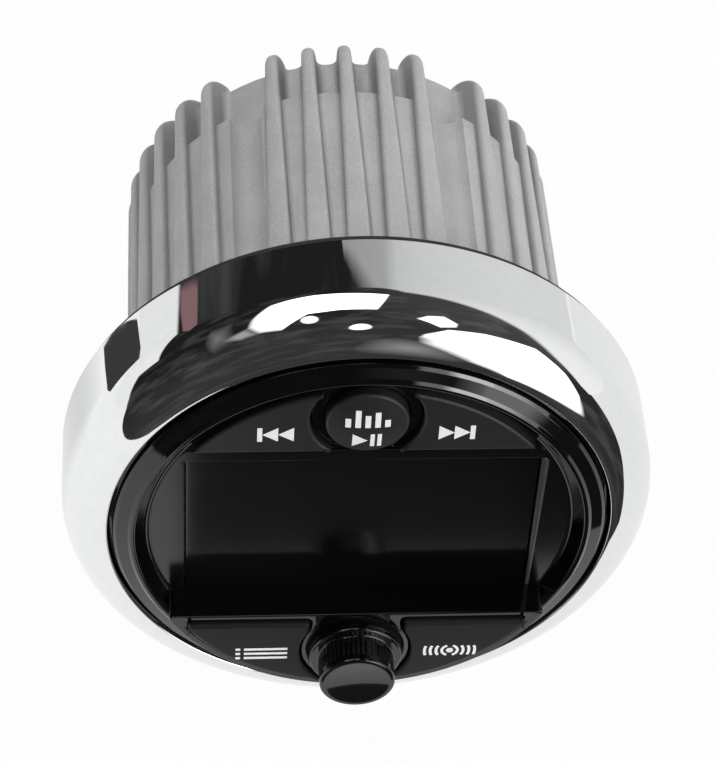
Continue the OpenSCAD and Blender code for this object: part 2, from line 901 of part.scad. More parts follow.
module base_key(side) {
  color(key_colour) {
    slab(platform_y - base_key_proud, base_key_flange_y)
      base_key_outline(side, 0);
    slab(base_key_flange_y, base_key_flange_y + key_flange_t)
      intersection() {
        base_key_outline(side, 2 * key_gap);
        platform_outline(platform_in_r - fit_gap, platform_in_z + fit_gap);
      }
    bar([side * base_post_x, -base_post_z], key_post_r, base_key_flange_y, stem_y);
  }
}

module source_button() {
  base_key(-1);
}

module band_button() {
  base_key(1);
}

// Encoder and knob

module encoder_body() {
  place = [0, -knob_z];
  color(encoder_colour)
    difference() {
      slab(encoder_front_y, front_board_y)
        translate([-encoder_w / 2, -knob_z - encoder_w / 2])
          square(encoder_w);
      bar(place, shaft_r + stem_gap, encoder_front_y - over, front_board_y - encoder_floor_t);
    }
}

module encoder_bush() {
  place = [0, -knob_z];
  color(brass_colour)
    difference() {
      bar(place, bush_r, nut_front_y, encoder_front_y);
      bar(place, shaft_r + shaft_gap, nut_front_y - over, encoder_front_y + over);
    }
}

module encoder_nut() {
  color(steel_colour)
    difference() {
      translate([0, platform_y, -knob_z])
        rotate([90, 0, 0])
          cylinder(d = nut_d, h = nut_t, $fn = 6);
      bar([0, -knob_z], bush_r + screw_gap / 2, nut_front_y - over, platform_y + over);
    }
}

module encoder_shaft() {
  color(steel_colour)
    bar([0, -knob_z], shaft_r, shaft_end_y, shaft_back_y);
}

module encoder_plunger() {
  color(pale_colour)
    bar([0, -knob_z], shaft_r - stem_gap, shaft_back_y, plunger_end_y);
}

module volume_knob() {
  grip_back_y = knob_back_y - knob_flange_t;
  color(gloss_colour)
    translate([0, 0, -knob_z])
      difference() {
        lathe()
          difference() {
            union() {
              translate([0, knob_end_y + knob_edge])
                square([knob_r, knob_back_y - knob_end_y - knob_edge]);
              translate([0, knob_end_y])
                square([knob_r - knob_edge, 2 * knob_edge]);
              translate([knob_r - knob_edge, knob_end_y + knob_edge])
                circle(knob_edge);
              translate([0, grip_back_y])
                square([knob_flange_r, knob_flange_t]);
            }
            translate([0, knob_hollow_y])
              square([knob_hollow_r, knob_back_y - knob_hollow_y + over]);
            translate([0, shaft_end_y])
              square([shaft_r, knob_back_y - shaft_end_y + over]);
          }
        for (i = [0 : knob_flutes - 1])
          bar(polar(knob_r + flute_r / 4, i * 360 / knob_flutes), flute_r, knob_end_y + flute_start,
              grip_back_y);
      }
}

// Flange plate, gasket and seal

module flange_plate() {
  color(plastic_colour)
    difference() {
      union() {
        lathe()
          difference() {
            union() {
              translate([flange_open_r, flange_front_y])
                square([flange_r - flange_open_r, flange_t]);
              translate([skirt_r + fit_gap, flange_front_y - locator_h])
                square([skirt_t, locator_h + over / 2]);
              translate([register_r - register_t, ring_back_y - over / 2])
                square([register_t, register_len + over / 2]);
            }
            translate([seal_at - seal_r - screw_gap, ring_back_y + register_len / 2 - seal_r - screw_gap])
              square([2 * seal_r + over, 2 * (seal_r + screw_gap)]);
          }
        for (a = channel_places)
          bar(polar(case_screw_at, a), 2 * case_screw_r, flange_front_y - locator_h, flange_front_y + over);
      }
      for (a = channel_places)
        bar(polar(case_screw_at, a), case_screw_r + screw_gap, flange_front_y - locator_h - over,
            ring_back_y + over);
      for (a = pillar_angles) {
        bar(polar(pillar_at, a), small_screw_r + screw_gap, flange_front_y - over, ring_back_y + over);
        bar(polar(pillar_at, a), small_head_r + screw_gap, ring_back_y - head_h - screw_gap,
            ring_back_y + over);
      }
    }
}

module face_screws() {
  seat_y = ring_back_y - head_h - screw_gap;
  color(steel_colour)
    for (a = pillar_angles)
      screw(polar(pillar_at, a), small_screw_r, small_head_r, seat_y, seat_y - small_screw_len);
}

module dash_gasket() {
  color(rubber_colour)
    lathe()
      translate([collar_r + fit_gap, ring_back_y])
        square([ring_r - gasket_inset - collar_r - fit_gap, gasket_t]);
}

module housing_seal() {
  color(rubber_colour)
    lathe()
      translate([seal_at, ring_back_y + register_len / 2])
        circle(seal_r);
}

// Cast body

module rib(angle) {
  y0 = collar_len - over;
  y1 = body_len + over;
  grow = (rib_front_t - rib_rear_t) / (body_len - collar_len) / 2;
  front_half = rib_front_t / 2 + grow * over;
  rear_half = rib_rear_t / 2 - grow * over;
  rotate([0, angle, 0])
    translate([0, 0, cast_in_r + rib_root])
      linear_extrude(collar_r - cast_in_r)
        polygon([[-front_half, y0], [front_half, y0], [rear_half, y1], [-rear_half, y1]]);
}

// Outer limit of the ribs, with the round on their rear corner
module rib_envelope() {
  rear_r = collar_r - rib_draft;
  lathe()
    union() {
      polygon([[0, ring_back_y], [shoulder_r, ring_back_y], [shoulder_r, 0], [collar_r, 0],
        [collar_r, collar_len], [rear_r, body_len - rib_corner], [0, body_len - rib_corner]]);
      translate([0, body_len - 2 * rib_corner])
        square([rear_r - rib_corner, 2 * rib_corner]);
      translate([rear_r - rib_corner, body_len - rib_corner])
        circle(rib_corner);
    }
}

module cast_core() {
  valley_at = valley_r + valley_round;
  difference() {
    union() {
      lathe()
        polygon([[0, ring_back_y], [shoulder_r, ring_back_y], [shoulder_r, 0], [collar_r, 0],
          [collar_r, collar_len], [panel_r, collar_len], [panel_r, step_y], [valley_at, step_y],
          [valley_at, rear_face_y], [0, rear_face_y]]);
      for (i = [0 : rib_places - 1])
        if (!in_channel(i * rib_angle))
          rib(i * rib_angle);
    }
    for (i = [0 : rib_places - 1])
      bar(polar(valley_at, (i + 0.5) * rib_angle), valley_round, step_y, body_len + over);
    for (a = channel_places)
      bar(polar(channel_at, a), channel_r, collar_len, body_len + over);
  }
}

module heat_sink_housing() {
  color(cast_colour)
    difference() {
      union() {
        difference() {
          intersection() {
            cast_core();
            rib_envelope();
          }
          bar([0, 0], cast_in_r, ring_back_y - over, rear_inside_y);
        }
        for (p = post_places)
          bar(p, post_r, main_board_back_y, rear_inside_y + over);
        for (sx = [-1, 1])
          bar([sx * bracket_spacing / 2, 0], bracket_hole_r + bracket_wall,
              rear_face_y - bracket_hole_depth - bracket_wall, rear_inside_y + over);
        intersection() {
          block([-clamp_hw, chip_y, land_z], [clamp_hw, rear_inside_y + over, cast_in_r + over]);
          bar([0, 0], cast_in_r + over, main_board_y, rear_face_y);
        }
      }
      for (p = post_places)
        bar(p, small_screw_r + screw_gap, main_board_y, main_board_y + small_screw_len + over);
      for (sx = [-1, 1])
        bar([sx * bracket_spacing / 2, 0], bracket_hole_r, rear_face_y - bracket_hole_depth,
            rear_face_y + over);
      bar([0, -gland_z], gland_r, rear_inside_y - over, rear_face_y + over);
      bar([0, antenna_z], antenna_r + screw_gap, rear_inside_y - over, rear_face_y + over);
      for (a = channel_places)
        bar(polar(case_screw_at, a), case_screw_r + screw_gap, ring_back_y - over, collar_len + over);
      for (sx = [-1, 1])
        translate([sx * clamp_screw_x, clamp_y, 0])
          cylinder(r = small_screw_r + screw_gap, h = land_z + clamp_screw_in + over);
    }
}

module case_screws() {
  color(steel_colour)
    for (a = channel_places)
      screw(polar(case_screw_at, a), case_screw_r, case_head_r, collar_len,
            flange_front_y - locator_h + over);
}

// Main board and what it carries

module main_board() {
  color(board_colour)
    difference() {
      slab(main_board_y, main_board_back_y)
        circle(main_board_r);
      for (p = post_places)
        bar(p, small_screw_r + screw_gap, main_board_y - over, main_board_back_y + over);
    }
}

module main_board_screws() {
  color(steel_colour)
    for (p = post_places)
      screw(p, small_screw_r, small_head_r, main_board_y, main_board_y + small_screw_len);
}

module amplifier_chip() {
  leg_pitch = 2 * chip_hw / leg_count;
  leg_z = chip_top - chip_t / 2;
  color(chip_colour) {
    block([-chip_hw, chip_y, chip_top - chip_t], [chip_hw, chip_y + chip_h, chip_top]);
    for (i = [0 : leg_count - 1])
      translate([(i + 0.5) * leg_pitch - chip_hw, 0, 0])
        block([-leg_w / 2, main_board_back_y, leg_z], [leg_w / 2, chip_y, leg_z + leg_t]);
  }
}

module thermal_pad() {
  color(pad_colour)
    block([-chip_hw, chip_y, chip_top], [chip_hw, chip_y + chip_h, land_z]);
}

module clamp_bar() {
  color(steel_colour)
    difference() {
      block([-clamp_hw, clamp_y - clamp_w / 2, clamp_seat_z],
            [clamp_hw, clamp_y + clamp_w / 2, chip_top - chip_t]);
      for (sx = [-1, 1])
        translate([sx * clamp_screw_x, clamp_y, 0])
          cylinder(r = small_screw_r + screw_gap, h = land_z);
    }
}

module clamp_screws() {
  color(steel_colour)
    for (sx = [-1, 1])
      translate([sx * clamp_screw_x, clamp_y, 0])
        rotate([90, 0, 0])
          screw([0, 0], small_screw_r, small_head_r, clamp_seat_z, land_z + clamp_screw_in);
}

module reservoir_capacitors() {
  color(capacitor_colour)
    for (sx = [-1, 1])
      bar([sx * (cap_r + cap_gap / 2), cap_z], cap_r, main_board_back_y, main_board_back_y + cap_h);
}

module choke() {
  color(copper_colour)
    translate([choke_x, main_board_back_y + choke_wire_r, -choke_z])
      lathe()
        translate([choke_r, 0])
          circle(choke_wire_r);
}

module tuner_can() {
  color(nickel_colour)
    block([-tuner_w / 2, main_board_y - tuner_h, tuner_z], [tuner_w / 2, main_board_y, tuner_z + tuner_d]);
}

module processor_chip() {
  color(chip_colour)
    block([-processor_x - processor_w, main_board_y - processor_h, -chip_row_z - processor_w],
          [-processor_x, main_board_y, -chip_row_z]);
}

module wireless_module() {
  color(wireless_colour)
    block([wireless_x, main_board_y - wireless_h, -chip_row_z - processor_w],
          [wireless_x + wireless_w, main_board_y, -chip_row_z]);
}

// The cable's centre line falls from one socket to the other in a smooth wave
function ribbon_point(t) =
  let(y0 = front_board_back_y + socket_h, y1 = main_board_y - socket_h)
  [y0 + (y1 - y0) * t,
   -socket_front_z - (socket_rear_z - socket_front_z) * (1 - cos(180 * t)) / 2];

module ribbon_cable() {
  steps = 24;
  line = [for (i = [0 : steps]) ribbon_point(i / steps)];
  back = [for (i = [steps : -1 : 0]) ribbon_point(i / steps) - [0, ribbon_t]];
  color(pale_colour)
    translate([-ribbon_w / 2, 0, 0])
      rotate([90, 0, 90])
        linear_extrude(ribbon_w)
          polygon(concat(line, back));
}

module ribbon_sockets() {
  color(pale_colour) {
    block([-ribbon_w / 2 - socket_wall, front_board_back_y, -socket_front_z - socket_d / 2],
          [ribbon_w / 2 + socket_wall, front_board_back_y + socket_h, -socket_front_z + socket_d / 2]);
    block([-ribbon_w / 2 - socket_wall, main_board_y - socket_h, -socket_rear_z - socket_d / 2],
          [ribbon_w / 2 + socket_wall, main_board_y, -socket_rear_z + socket_d / 2]);
  }
}

module harness_header() {
  color(pale_colour)
    block([-header_w / 2, main_board_back_y, -header_z - header_d / 2],
          [header_w / 2, main_board_back_y + header_h, -header_z + header_d / 2]);
}

// Gland and socket in the rear wall

module cable_gland() {
  color(rubber_colour)
    translate([0, 0, -gland_z])
      lathe()
        difference() {
          union() {
            translate([0, rear_inside_y])
              square([gland_r, rear_wall]);
            translate([0, rear_inside_y - gland_lip_t])
              square([gland_r + gland_lip, gland_lip_t]);
            translate([0, rear_face_y])
              square([gland_r + gland_lip, gland_lip_t]);
          }
          translate([0, rear_inside_y - gland_lip_t - over])
            square([gland_bore_r, rear_wall + 2 * gland_lip_t + 2 * over]);
        }
}

module antenna_socket() {
  mouth_y = rear_face_y + antenna_out;
  color(nickel_colour)
    translate([0, 0, antenna_z])
      lathe()
        difference() {
          union() {
            translate([0, antenna_end_y])
              square([antenna_r, mouth_y - antenna_end_y]);
            translate([0, rear_face_y])
              square([antenna_r + antenna_lip, antenna_lip]);
          }
          translate([0, mouth_y - antenna_depth])
            square([antenna_bore_r, antenna_depth + over]);
        }
}

module antenna_nut() {
  color(steel_colour)
    difference() {
      translate([0, rear_inside_y, antenna_z])
        rotate([90, 0, 0])
          cylinder(r = antenna_r + antenna_nut_w, h = nut_t, $fn = 6);
      bar([0, antenna_z], antenna_r + screw_gap / 2, rear_inside_y - nut_t - over, rear_inside_y + over);
    }
}

bezel_ring();
face_plate();
display_lens();
lcd_panel();
lcd_light_guide();
lcd_frame();
front_board();
front_board_screws();
key_switches();
play_button();
skip_back_button();
skip_forward_button();
source_button();
band_button();
play_stem();
skip_back_stem();
skip_forward_stem();
source_stem();
band_stem();
encoder_body();
encoder_bush();
encoder_nut();
encoder_shaft();
encoder_plunger();
volume_knob();
flange_plate();
dash_gasket();
housing_seal();
face_screws();
heat_sink_housing();
case_screws();
main_board();
main_board_screws();
amplifier_chip();
thermal_pad();
clamp_bar();
clamp_screws();
reservoir_capacitors();
choke();
tuner_can();
processor_chip();
wireless_module();
ribbon_cable();
ribbon_sockets();
harness_header();
cable_gland();
antenna_socket();
antenna_nut();
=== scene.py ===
# %% [markdown]
# # A round marine stereo, dressed for its photograph
#
# The stereo fits a round gauge hole in a boat's dash. A chrome ring holds a dished gloss black face
# with a display, five keys and a knob, and a finned casting behind the dash carries the heat away.
# The solids are already built at their real size. This script keeps them as a fixed frame and gives
# every surface its shape in detail and its finish. Sizes are written in millimetres, as on a drawing,
# and the one function that makes a mesh turns them into metres.

# %% Load the frame
import json
import math

import bmesh
import bpy
from mathutils import Matrix, Vector


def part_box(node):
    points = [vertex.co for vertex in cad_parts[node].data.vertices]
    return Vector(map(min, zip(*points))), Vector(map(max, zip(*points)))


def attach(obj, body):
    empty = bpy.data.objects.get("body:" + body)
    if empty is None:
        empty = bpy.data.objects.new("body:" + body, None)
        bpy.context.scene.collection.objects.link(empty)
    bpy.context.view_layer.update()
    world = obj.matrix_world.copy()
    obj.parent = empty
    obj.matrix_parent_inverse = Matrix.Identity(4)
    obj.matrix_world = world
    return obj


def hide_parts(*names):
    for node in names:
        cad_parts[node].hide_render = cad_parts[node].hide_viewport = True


MM = 0.001
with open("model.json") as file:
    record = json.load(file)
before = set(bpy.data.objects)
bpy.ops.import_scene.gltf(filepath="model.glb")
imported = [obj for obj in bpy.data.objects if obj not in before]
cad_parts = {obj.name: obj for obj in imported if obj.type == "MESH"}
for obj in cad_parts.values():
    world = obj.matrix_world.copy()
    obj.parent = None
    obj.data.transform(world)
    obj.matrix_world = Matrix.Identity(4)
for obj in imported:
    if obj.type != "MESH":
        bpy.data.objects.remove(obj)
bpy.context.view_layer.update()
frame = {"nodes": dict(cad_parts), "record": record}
nodes = frame["nodes"]


# %% Read sizes from the frame
def span(node):
    """Lowest and highest corner of a node, in millimetres."""
    low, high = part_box(node)
    return low / MM, high / MM


ring_low, ring_high = span("bezel_ring")
face_low, face_high = span("face_plate")
lens_low, lens_high = span("display_lens")
ring_r = ring_high.x
ring_front_y = ring_low.y
ring_back_y = ring_high.y
print(f"ring: radius {ring_r:.2f} mm, from {ring_front_y:.2f} to {ring_back_y:.2f} along Y")

# %% [markdown]
# ## The camera
#
# The photograph looks down on the stereo from the front, with a long lens. The angles below were found
# by matching the rims of the ring and the face to their ellipses in the picture. A camera's own axes are
# right, up and backwards, so its matrix is made from those three directions and its place.

# %% Camera
camera_place = Vector((-36.11, -349.88, 399.59)) * MM
camera_turn = math.radians(-5.915)
camera_rise = math.radians(47.484)
camera_roll = math.radians(3.714)
camera_lens = 132.80
camera_sensor = 36.0

back = Vector((math.sin(camera_turn) * math.cos(camera_rise),
               -math.cos(camera_turn) * math.cos(camera_rise),
               math.sin(camera_rise)))
level = Vector((math.cos(camera_turn), math.sin(camera_turn), 0))
above = back.cross(level)
right = level * math.cos(camera_roll) + above * math.sin(camera_roll)
up = above * math.cos(camera_roll) - level * math.sin(camera_roll)

camera_data = bpy.data.cameras.new("photo_camera")
camera_data.lens = camera_lens
camera_data.sensor_width = camera_sensor
camera_data.sensor_fit = "AUTO"
camera_data.clip_start = 0.01
camera = bpy.data.objects.new("photo_camera", camera_data)
camera.matrix_world = Matrix.Translation(camera_place) @ Matrix((right, up, back)).transposed().to_4x4()
scene = bpy.context.scene
scene.collection.objects.link(camera)
scene.camera = camera
scene.view_settings.view_transform = "Standard"
print("camera:", [round(x, 4) for x in camera.matrix_world.translation])

# %% [markdown]
# ## Shader maths
#
# A finish is a small network of nodes. Writing each node by hand hides what is being worked out, so one
# small class wraps a socket: adding or multiplying two of them adds a Math node, and every other node
# comes from one method that sets the node's settings first and then its sockets. The same class later
# builds the one Geometry Nodes tree.


# %% Shade: a socket that does arithmetic
class Shade:
    """One output socket of a node tree, with arithmetic on values."""

    def __init__(self, tree, socket=None):
        self.tree = tree
        self.socket = socket

    def node(self, kind, sockets=None, output=0, **settings):
        """Adds a shader node, or one given by its full name, and returns one of its outputs."""
        made = self.tree.nodes.new(kind if "Node" in kind else "ShaderNode" + kind)
        for name, value in settings.items():
            setattr(made, name, value)
        for name, value in (sockets or {}).items():
            if isinstance(value, Shade):
                self.tree.links.new(value.socket, made.inputs[name])
            else:
                made.inputs[name].default_value = value
        return Shade(self.tree, made.outputs[output] if len(made.outputs) else None)

    def math(self, operation, *values):
        return self.node("Math", dict(enumerate(values)), operation=operation)

    def mix(self, low, high):
        """A colour between low, where this value is 0, and high, where it is 1."""
        return self.node("Mix", {0: self, 6: low, 7: high}, 2, data_type="RGBA")

    def ramp(self, low, high):
        """This value stretched so that low becomes 0 and high becomes 1, and held between them."""
        return self.node("MapRange", {0: self, 1: low, 2: high, 3: 0.0, 4: 1.0}, clamp=True)

    def __add__(self, other):
        return self.math("ADD", self, other)

    def __sub__(self, other):
        return self.math("SUBTRACT", self, other)

    def __rsub__(self, other):
        return self.math("SUBTRACT", other, self)

    def __mul__(self, other):
        return self.math("MULTIPLY", self, other)

    def __truediv__(self, other):
        return self.math("DIVIDE", self, other)

    __radd__ = __add__
    __rmul__ = __mul__


def grey(value, warm=0.0):
    """A grey of this brightness, a little warmer or cooler."""
    return (value * (1 + warm), value, value * (1 - warm), 1.0)


def open_finish(name):
    """A new material with an empty tree, and a Shade to start its network from."""
    material = bpy.data.materials.new(name)
    material.use_nodes = True
    material.node_tree.nodes.clear()
    return material, Shade(material.node_tree)


def open_skin(name):
    """Like open_finish, with the place on the object in millimetres, so that scales read per millimetre."""
    material, start = open_finish(name)
    place = start.node("TexCoord", output=3)
    return material, start, place.node("VectorMath", {0: place, "Scale": 1 / MM}, operation="SCALE")


def noise(place, per_mm, detail=2.0, roughness=0.5):
    """Smooth noise with this many waves to the millimetre."""
    sockets = {"Vector": place, "Scale": per_mm, "Detail": detail, "Roughness": roughness}
    return place.node("TexNoise", sockets, noise_dimensions="3D")


def bumps(start, height, depth_mm, strength=1.0):
    """A normal that follows a height field of 0 to 1 which is this deep."""
    return start.node("Bump", {"Height": height, "Distance": depth_mm * MM, "Strength": strength})


def close_finish(start, **sockets):
    """Ends a network in one surface shader; a socket is named in lower case with _ for its spaces."""
    named = {name.replace("_", " ").title().replace("Ior", "IOR"): value for name, value in sockets.items()}
    shader = start.node("BsdfPrincipled", named)
    start.node("OutputMaterial", {"Surface": shader})


print("shader maths ready")

# %% [markdown]
# ## The studio
#
# What chrome and gloss black look like is what they reflect, so the studio is built first. The ring in the
# photograph is a mirror bent round a circle, and reading its streaks backwards gives the room: a large
# softbox overhead to the left, a second one in front on the right, two small panels, a pale sweep round
# the sides and back, and a white table with a dark room in front of it. Each lamp is a card that shines,
# set well back and hidden from the camera, which sees only the table and a white background.

# %% Cards
CARD_REACH = 1300.0


def close_mix(start, share, low, high, output="OutputMaterial"):
    """Ends a network in a mix of two shaders."""
    start.node(output, {"Surface": start.node("MixShader", {0: share, 1: low, 2: high})})


def glowing(name, strength, colour=grey(1.0)):
    """Emission that fades to clear with the glow written on a card's corners."""
    material, start = open_finish(name)
    glow = start.node("Attribute", output=2, attribute_name="glow")
    clear = start.node("BsdfTransparent")
    shine = start.node("Emission", {"Color": colour, "Strength": strength})
    close_mix(start, glow, clear, shine)
    return material


def towards(azimuth, elevation):
    """Direction of a card's corner: azimuth 0 is in front, rising to the right, in degrees."""
    a, e = math.radians(azimuth), math.radians(elevation)
    return Vector((math.sin(a) * math.cos(e), -math.cos(a) * math.cos(e), math.sin(e)))


def overhead(x, y):
    """Direction of a card's corner overhead, by how far it leans for each unit of height."""
    return Vector((x, y, 1.0))


def stage_mesh(name, corners, faces, material, glow=None, camera_sees=False):
    """A piece of the studio, from corners in millimetres."""
    mesh = bpy.data.meshes.new(name)
    mesh.from_pydata([Vector(c) * MM for c in corners], [], faces)
    mesh.materials.append(material)
    levels = mesh.attributes.new("glow", "FLOAT", "POINT")
    levels.data.foreach_set("value", glow or [1.0] * len(corners))
    piece = bpy.data.objects.new(name, mesh)
    scene.collection.objects.link(piece)
    piece.visible_camera = camera_sees


def card(name, place, rows, strength, soft=0.0, reach=1.0, colour=grey(1.0)):
    """A shining card with a corner at place(a, b) for each row of a, b and, if it has its own, soft.

    The light fades to the card's edge over the soft share of the way in."""
    corners = [(place(*row[:2]) * reach, row[2] if len(row) > 2 else soft) for row in rows]
    outer = [direction * (CARD_REACH / max(1.0, direction.length)) for direction, fade in corners]
    middle = sum(outer, Vector()) / len(outer)
    inner = [point.lerp(middle, fade) for point, (direction, fade) in zip(outer, corners)]
    count = len(outer)
    faces = []
    for i in range(count):
        j = (i + 1) % count
        faces.append((i, j, count + j, count + i))
        faces.append((count + i, count + j, 2 * count))
    stage_mesh(name, outer + inner + [middle], faces, glowing(name, strength, colour),
               [0.0] * count + [1.0] * (count + 1))


def oval(centre, half, steps=20):
    """Rows for the corners of a round lamp."""
    turns = [math.tau * i / steps for i in range(steps)]
    return [(centre[0] + half[0] * math.cos(t), centre[1] + half[1] * math.sin(t)) for t in turns]


# %% Softboxes and lamps
card("overhead_softbox", overhead, [
    (-0.79, -0.25, 0.25), (-0.75, 0.02, 0.25), (-0.59, 0.56, 0.1), (-0.44, 0.62, 0.05), (-0.28, 0.63, 0.05),
    (0.01, 0.51, 0.03), (0.19, 0.43, 0.03), (0.11, -0.20, 0.03), (-0.11, -0.17, 0.08), (-0.21, -0.19, 0.08),
    (-0.31, -0.19, 0.08), (-0.42, -0.44, 0.12), (-0.55, -0.77, 0.25), (-0.74, -0.64, 0.25)], strength=2.8)
card("overhead_spill", overhead, [
    (-1.36, -0.28), (-1.22, 0.42), (-0.90, 0.30), (-0.94, -0.70), (-1.49, -1.26)], strength=0.18, soft=0.9)
card("overhead_tail", overhead, [
    (-0.70, -0.66), (-0.76, -0.20), (-1.00, -0.35), (-1.15, -0.55), (-0.95, -0.80)], strength=0.4, soft=0.6)
card("front_softbox", towards, [
    (15.9, 22.1, 0.4), (19.8, 29.6, 0.1), (35.7, 40.3, 0.03), (54.0, 37.8, 0.03), (72.1, 25.4, 0.03),
    (64.9, 8.7, 0.03), (54.0, -6.2, 0.03), (40.1, -22.3, 0.15), (36.7, -23.4, 0.15), (26.9, -24.3, 0.15),
    (19.8, -23.7, 0.15), (16.6, -14.3, 0.3), (15.6, -0.9, 0.4), (13.8, 11.6, 0.4)], strength=2.4)
card("front_halo", towards, oval((10.0, -2.0), (9.0, 22.0)), strength=0.3, soft=1.0)
card("front_core", towards, [
    (28, 24), (32, 29), (44, 20.5), (56, 5, 0.9), (52, 2, 0.9), (39, 14)], strength=10.0, soft=0.3, reach=0.7)
card("side_panel", towards, [
    (34.9, 58.0), (51.7, 61.5), (63.8, 58.6), (52.9, 48.5), (44.8, 44.1), (34.3, 42.9), (35.4, 51.1)],
    strength=2.4, soft=0.2)
card("front_lamp", towards, oval((1.1, 42.5), (4.8, 7.0)), strength=2.4, soft=0.3)
card("spot_lamp", overhead, oval((-0.31, -0.45), (0.065, 0.19)), strength=2.4, soft=0.35)
card("warm_strip", towards, [
    (-134.5, 13.8), (-136.4, 20.0), (-135.4, 20.3), (-128.1, 21.2), (-133.4, 14.0)],
    strength=0.25, soft=0.2, colour=(1.0, 0.58, 0.6, 1.0))

# %% Pale sweep and dark flag
floor_z = ring_low.z
SWEEP_REACH = 1250.0
# Each column of the sweep: azimuth and elevation of its upper edge, its glow, and the fade in degrees
sweep_columns = [
    (67, 2.9, 1.0, 2), (78, 21.7, 1.0, 5), (95, 34.9, 0.97, 6), (110.6, 45, 0.9, 6), (134, 53.6, 0.76, 5),
    (155, 56, 0.66, 4), (163, 52, 0.6, 3), (168, 50, 0.4, 2), (181, 48, 0.35, 1.5), (184, 47, 0.33, 1),
    (186, 38, 0.33, 1), (200, 20, 0.5, 2), (215, 8, 0.7, 2), (223, 6, 0.9, 1), (224.8, 14.3, 0.9, 1),
    (229.8, 13.8, 0.9, 1), (245, 17, 0.95, 1), (259, 18.5, 0.95, 1), (261, 10, 0.95, 1),
    (281.7, 2.7, 0.95, 1), (290, -2, 0.95, 1)]
sweep_corners, sweep_glow = [], []
for azimuth, elevation, glow, soft in sweep_columns:
    foot = towards(azimuth, 0) * SWEEP_REACH
    for rise, level in ((-90, glow), (elevation - soft, glow), (elevation, 0.0)):
        height = SWEEP_REACH * math.tan(math.radians(max(rise, -45)))
        sweep_corners.append((foot.x, foot.y, max(floor_z + 0.01 * len(sweep_corners), height)))
        sweep_glow.append(level)
sweep_faces = [(3 * i + k, 3 * i + 3 + k, 3 * i + 4 + k, 3 * i + 1 + k)
               for i in range(len(sweep_columns) - 1) for k in (0, 1)]
stage_mesh("pale_sweep", sweep_corners, sweep_faces, glowing("pale_sweep", 1.0), sweep_glow)
flag_corners = [(-176, 134, -39), (-184, 136, 6), (-184, 134, 23), (-186, 123, 30), (-217, 81, -3),
                (-178, 127, -36)]
stage_mesh("dark_flag", flag_corners, [list(range(len(flag_corners)))], glowing("dark_flag", 0.045))
print("sweep:", len(sweep_columns), "columns")

# %% Table, front card and room
table_white, start, place = open_skin("table_white")
sees = start.node("LightPath").socket.node.outputs
camera_ray, glossy_ray = [Shade(start.tree, sees[label]) for label in ("Is Camera Ray", "Is Glossy Ray")]
# The table's brightness in reflections is painted: a little lighter towards the left, and darker near and
# behind the object as a painted shadow.
across = start.node("SeparateXYZ", {0: place}).ramp(-150.0, 150.0)
behind = start.node("SeparateXYZ", {0: place}, output=1).ramp(10.0, 80.0)
near = 1 - place.node("VectorMath", {0: place}, 1, operation="LENGTH").ramp(90.0, 260.0)
table_level = 0.93 + (1 - across) * (0.13 - 0.5 * near * behind)
lit = start.node("BsdfDiffuse", {"Color": grey(0.8)})
white = start.node("Emission", {"Color": camera_ray + glossy_ray * table_level, "Strength": 1.0})
share = camera_ray * 0.97 + glossy_ray * 0.9
close_mix(start, share, lit, white)
table_edge = [
    (-1300, 1300), (1300, 1300), (1300, -498), (324, -142), (176, -88), (121, -71), (83, -55), (39, -56.5),
    (-31.5, -56.5), (-31.5, -142), (-72, -132), (-111, -146), (-232, -182), (-474, -248), (-1300, -470)]
stage_mesh("table", [(x, y, floor_z) for x, y in table_edge], [list(range(len(table_edge)))], table_white,
           camera_sees=True)
front_edge = [(-31.5, -56.5), (38.0, -56.5), (38.0, -84.0), (-31.5, -84.0)]
stage_mesh("front_card", [(x, y, floor_z) for x, y in front_edge], [(0, 1, 2, 3)],
           glowing("front_card", 0.1), [1.0, 0.4, 0.4, 1.0])

world = bpy.data.worlds.new("studio_room")
world.use_nodes = True
world.node_tree.nodes.clear()
start = Shade(world.node_tree)
aim = start.node("TexCoord")
ahead, aside = [aim.node("VectorMath", {0: aim, 1: way}, 1, operation="DOT_PRODUCT")
                for way in ((0, -1, 0), (0.72, 0.12, 0.68))]
mottle = noise(aim, 5.0, 4.0).ramp(0.48, 0.72)
room_level = 0.014 + 0.025 * ahead.ramp(0.1, 0.9) + 0.045 * mottle + 0.045 * aside.ramp(0.55, 0.95)
room = start.node("Background", {"Color": room_level})
backdrop = start.node("Background", {"Color": grey(1.0), "Strength": 1.0})
camera_ray = start.node("LightPath")
close_mix(start, camera_ray, room, backdrop, "OutputWorld")
scene.world = world
print("studio: table at", round(floor_z, 2), "mm")

# %% Casting sizes
collar_r, collar_len = 42.6, 8.5
body_len = 68.0
fin_len, rear_sink, rear_wall = 16.0, 3.7, 5.0
cast_wall, valley_wall, channel_wall = 8.0, 2.8, 3.1
shoulder_step, panel_sink = 0.6, 1.6
shoulder_r = collar_r - shoulder_step
cast_in_r = collar_r - cast_wall
panel_r = collar_r - panel_sink
step_y = body_len - fin_len
rear_face_y = body_len - rear_sink
rear_inside_y = rear_face_y - rear_wall
valley_r = cast_in_r + valley_wall
valley_fillet = 1.7
rib_front_t, rib_rear_t = 4.4, 2.4
channel_angle = 28.5
channel_r = 3.4
channel_at = cast_in_r + channel_wall + channel_r
rib_places = 36
rib_gap = 30.0
pitch = 360 / rib_places
rib_angles = [i * pitch for i in range(rib_places)
              if abs(abs((i * pitch + 90) % 180 - 90) - rib_gap) > pitch / 2]
channel_places = [channel_angle, 180 - channel_angle, 180 + channel_angle, 360 - channel_angle]
print("casting:", rib_places, "rib places,", len(rib_angles), "ribs")

# %% [markdown]
# ## Finishes
#
# Every finish has something that changes over the surface, at the scale the real material shows:
# the faint waviness of plated plastic, fine dust on gloss black, the grain of moulded keys and the sandy
# skin of cast metal. Numbers that are the same everywhere go straight onto the shader.


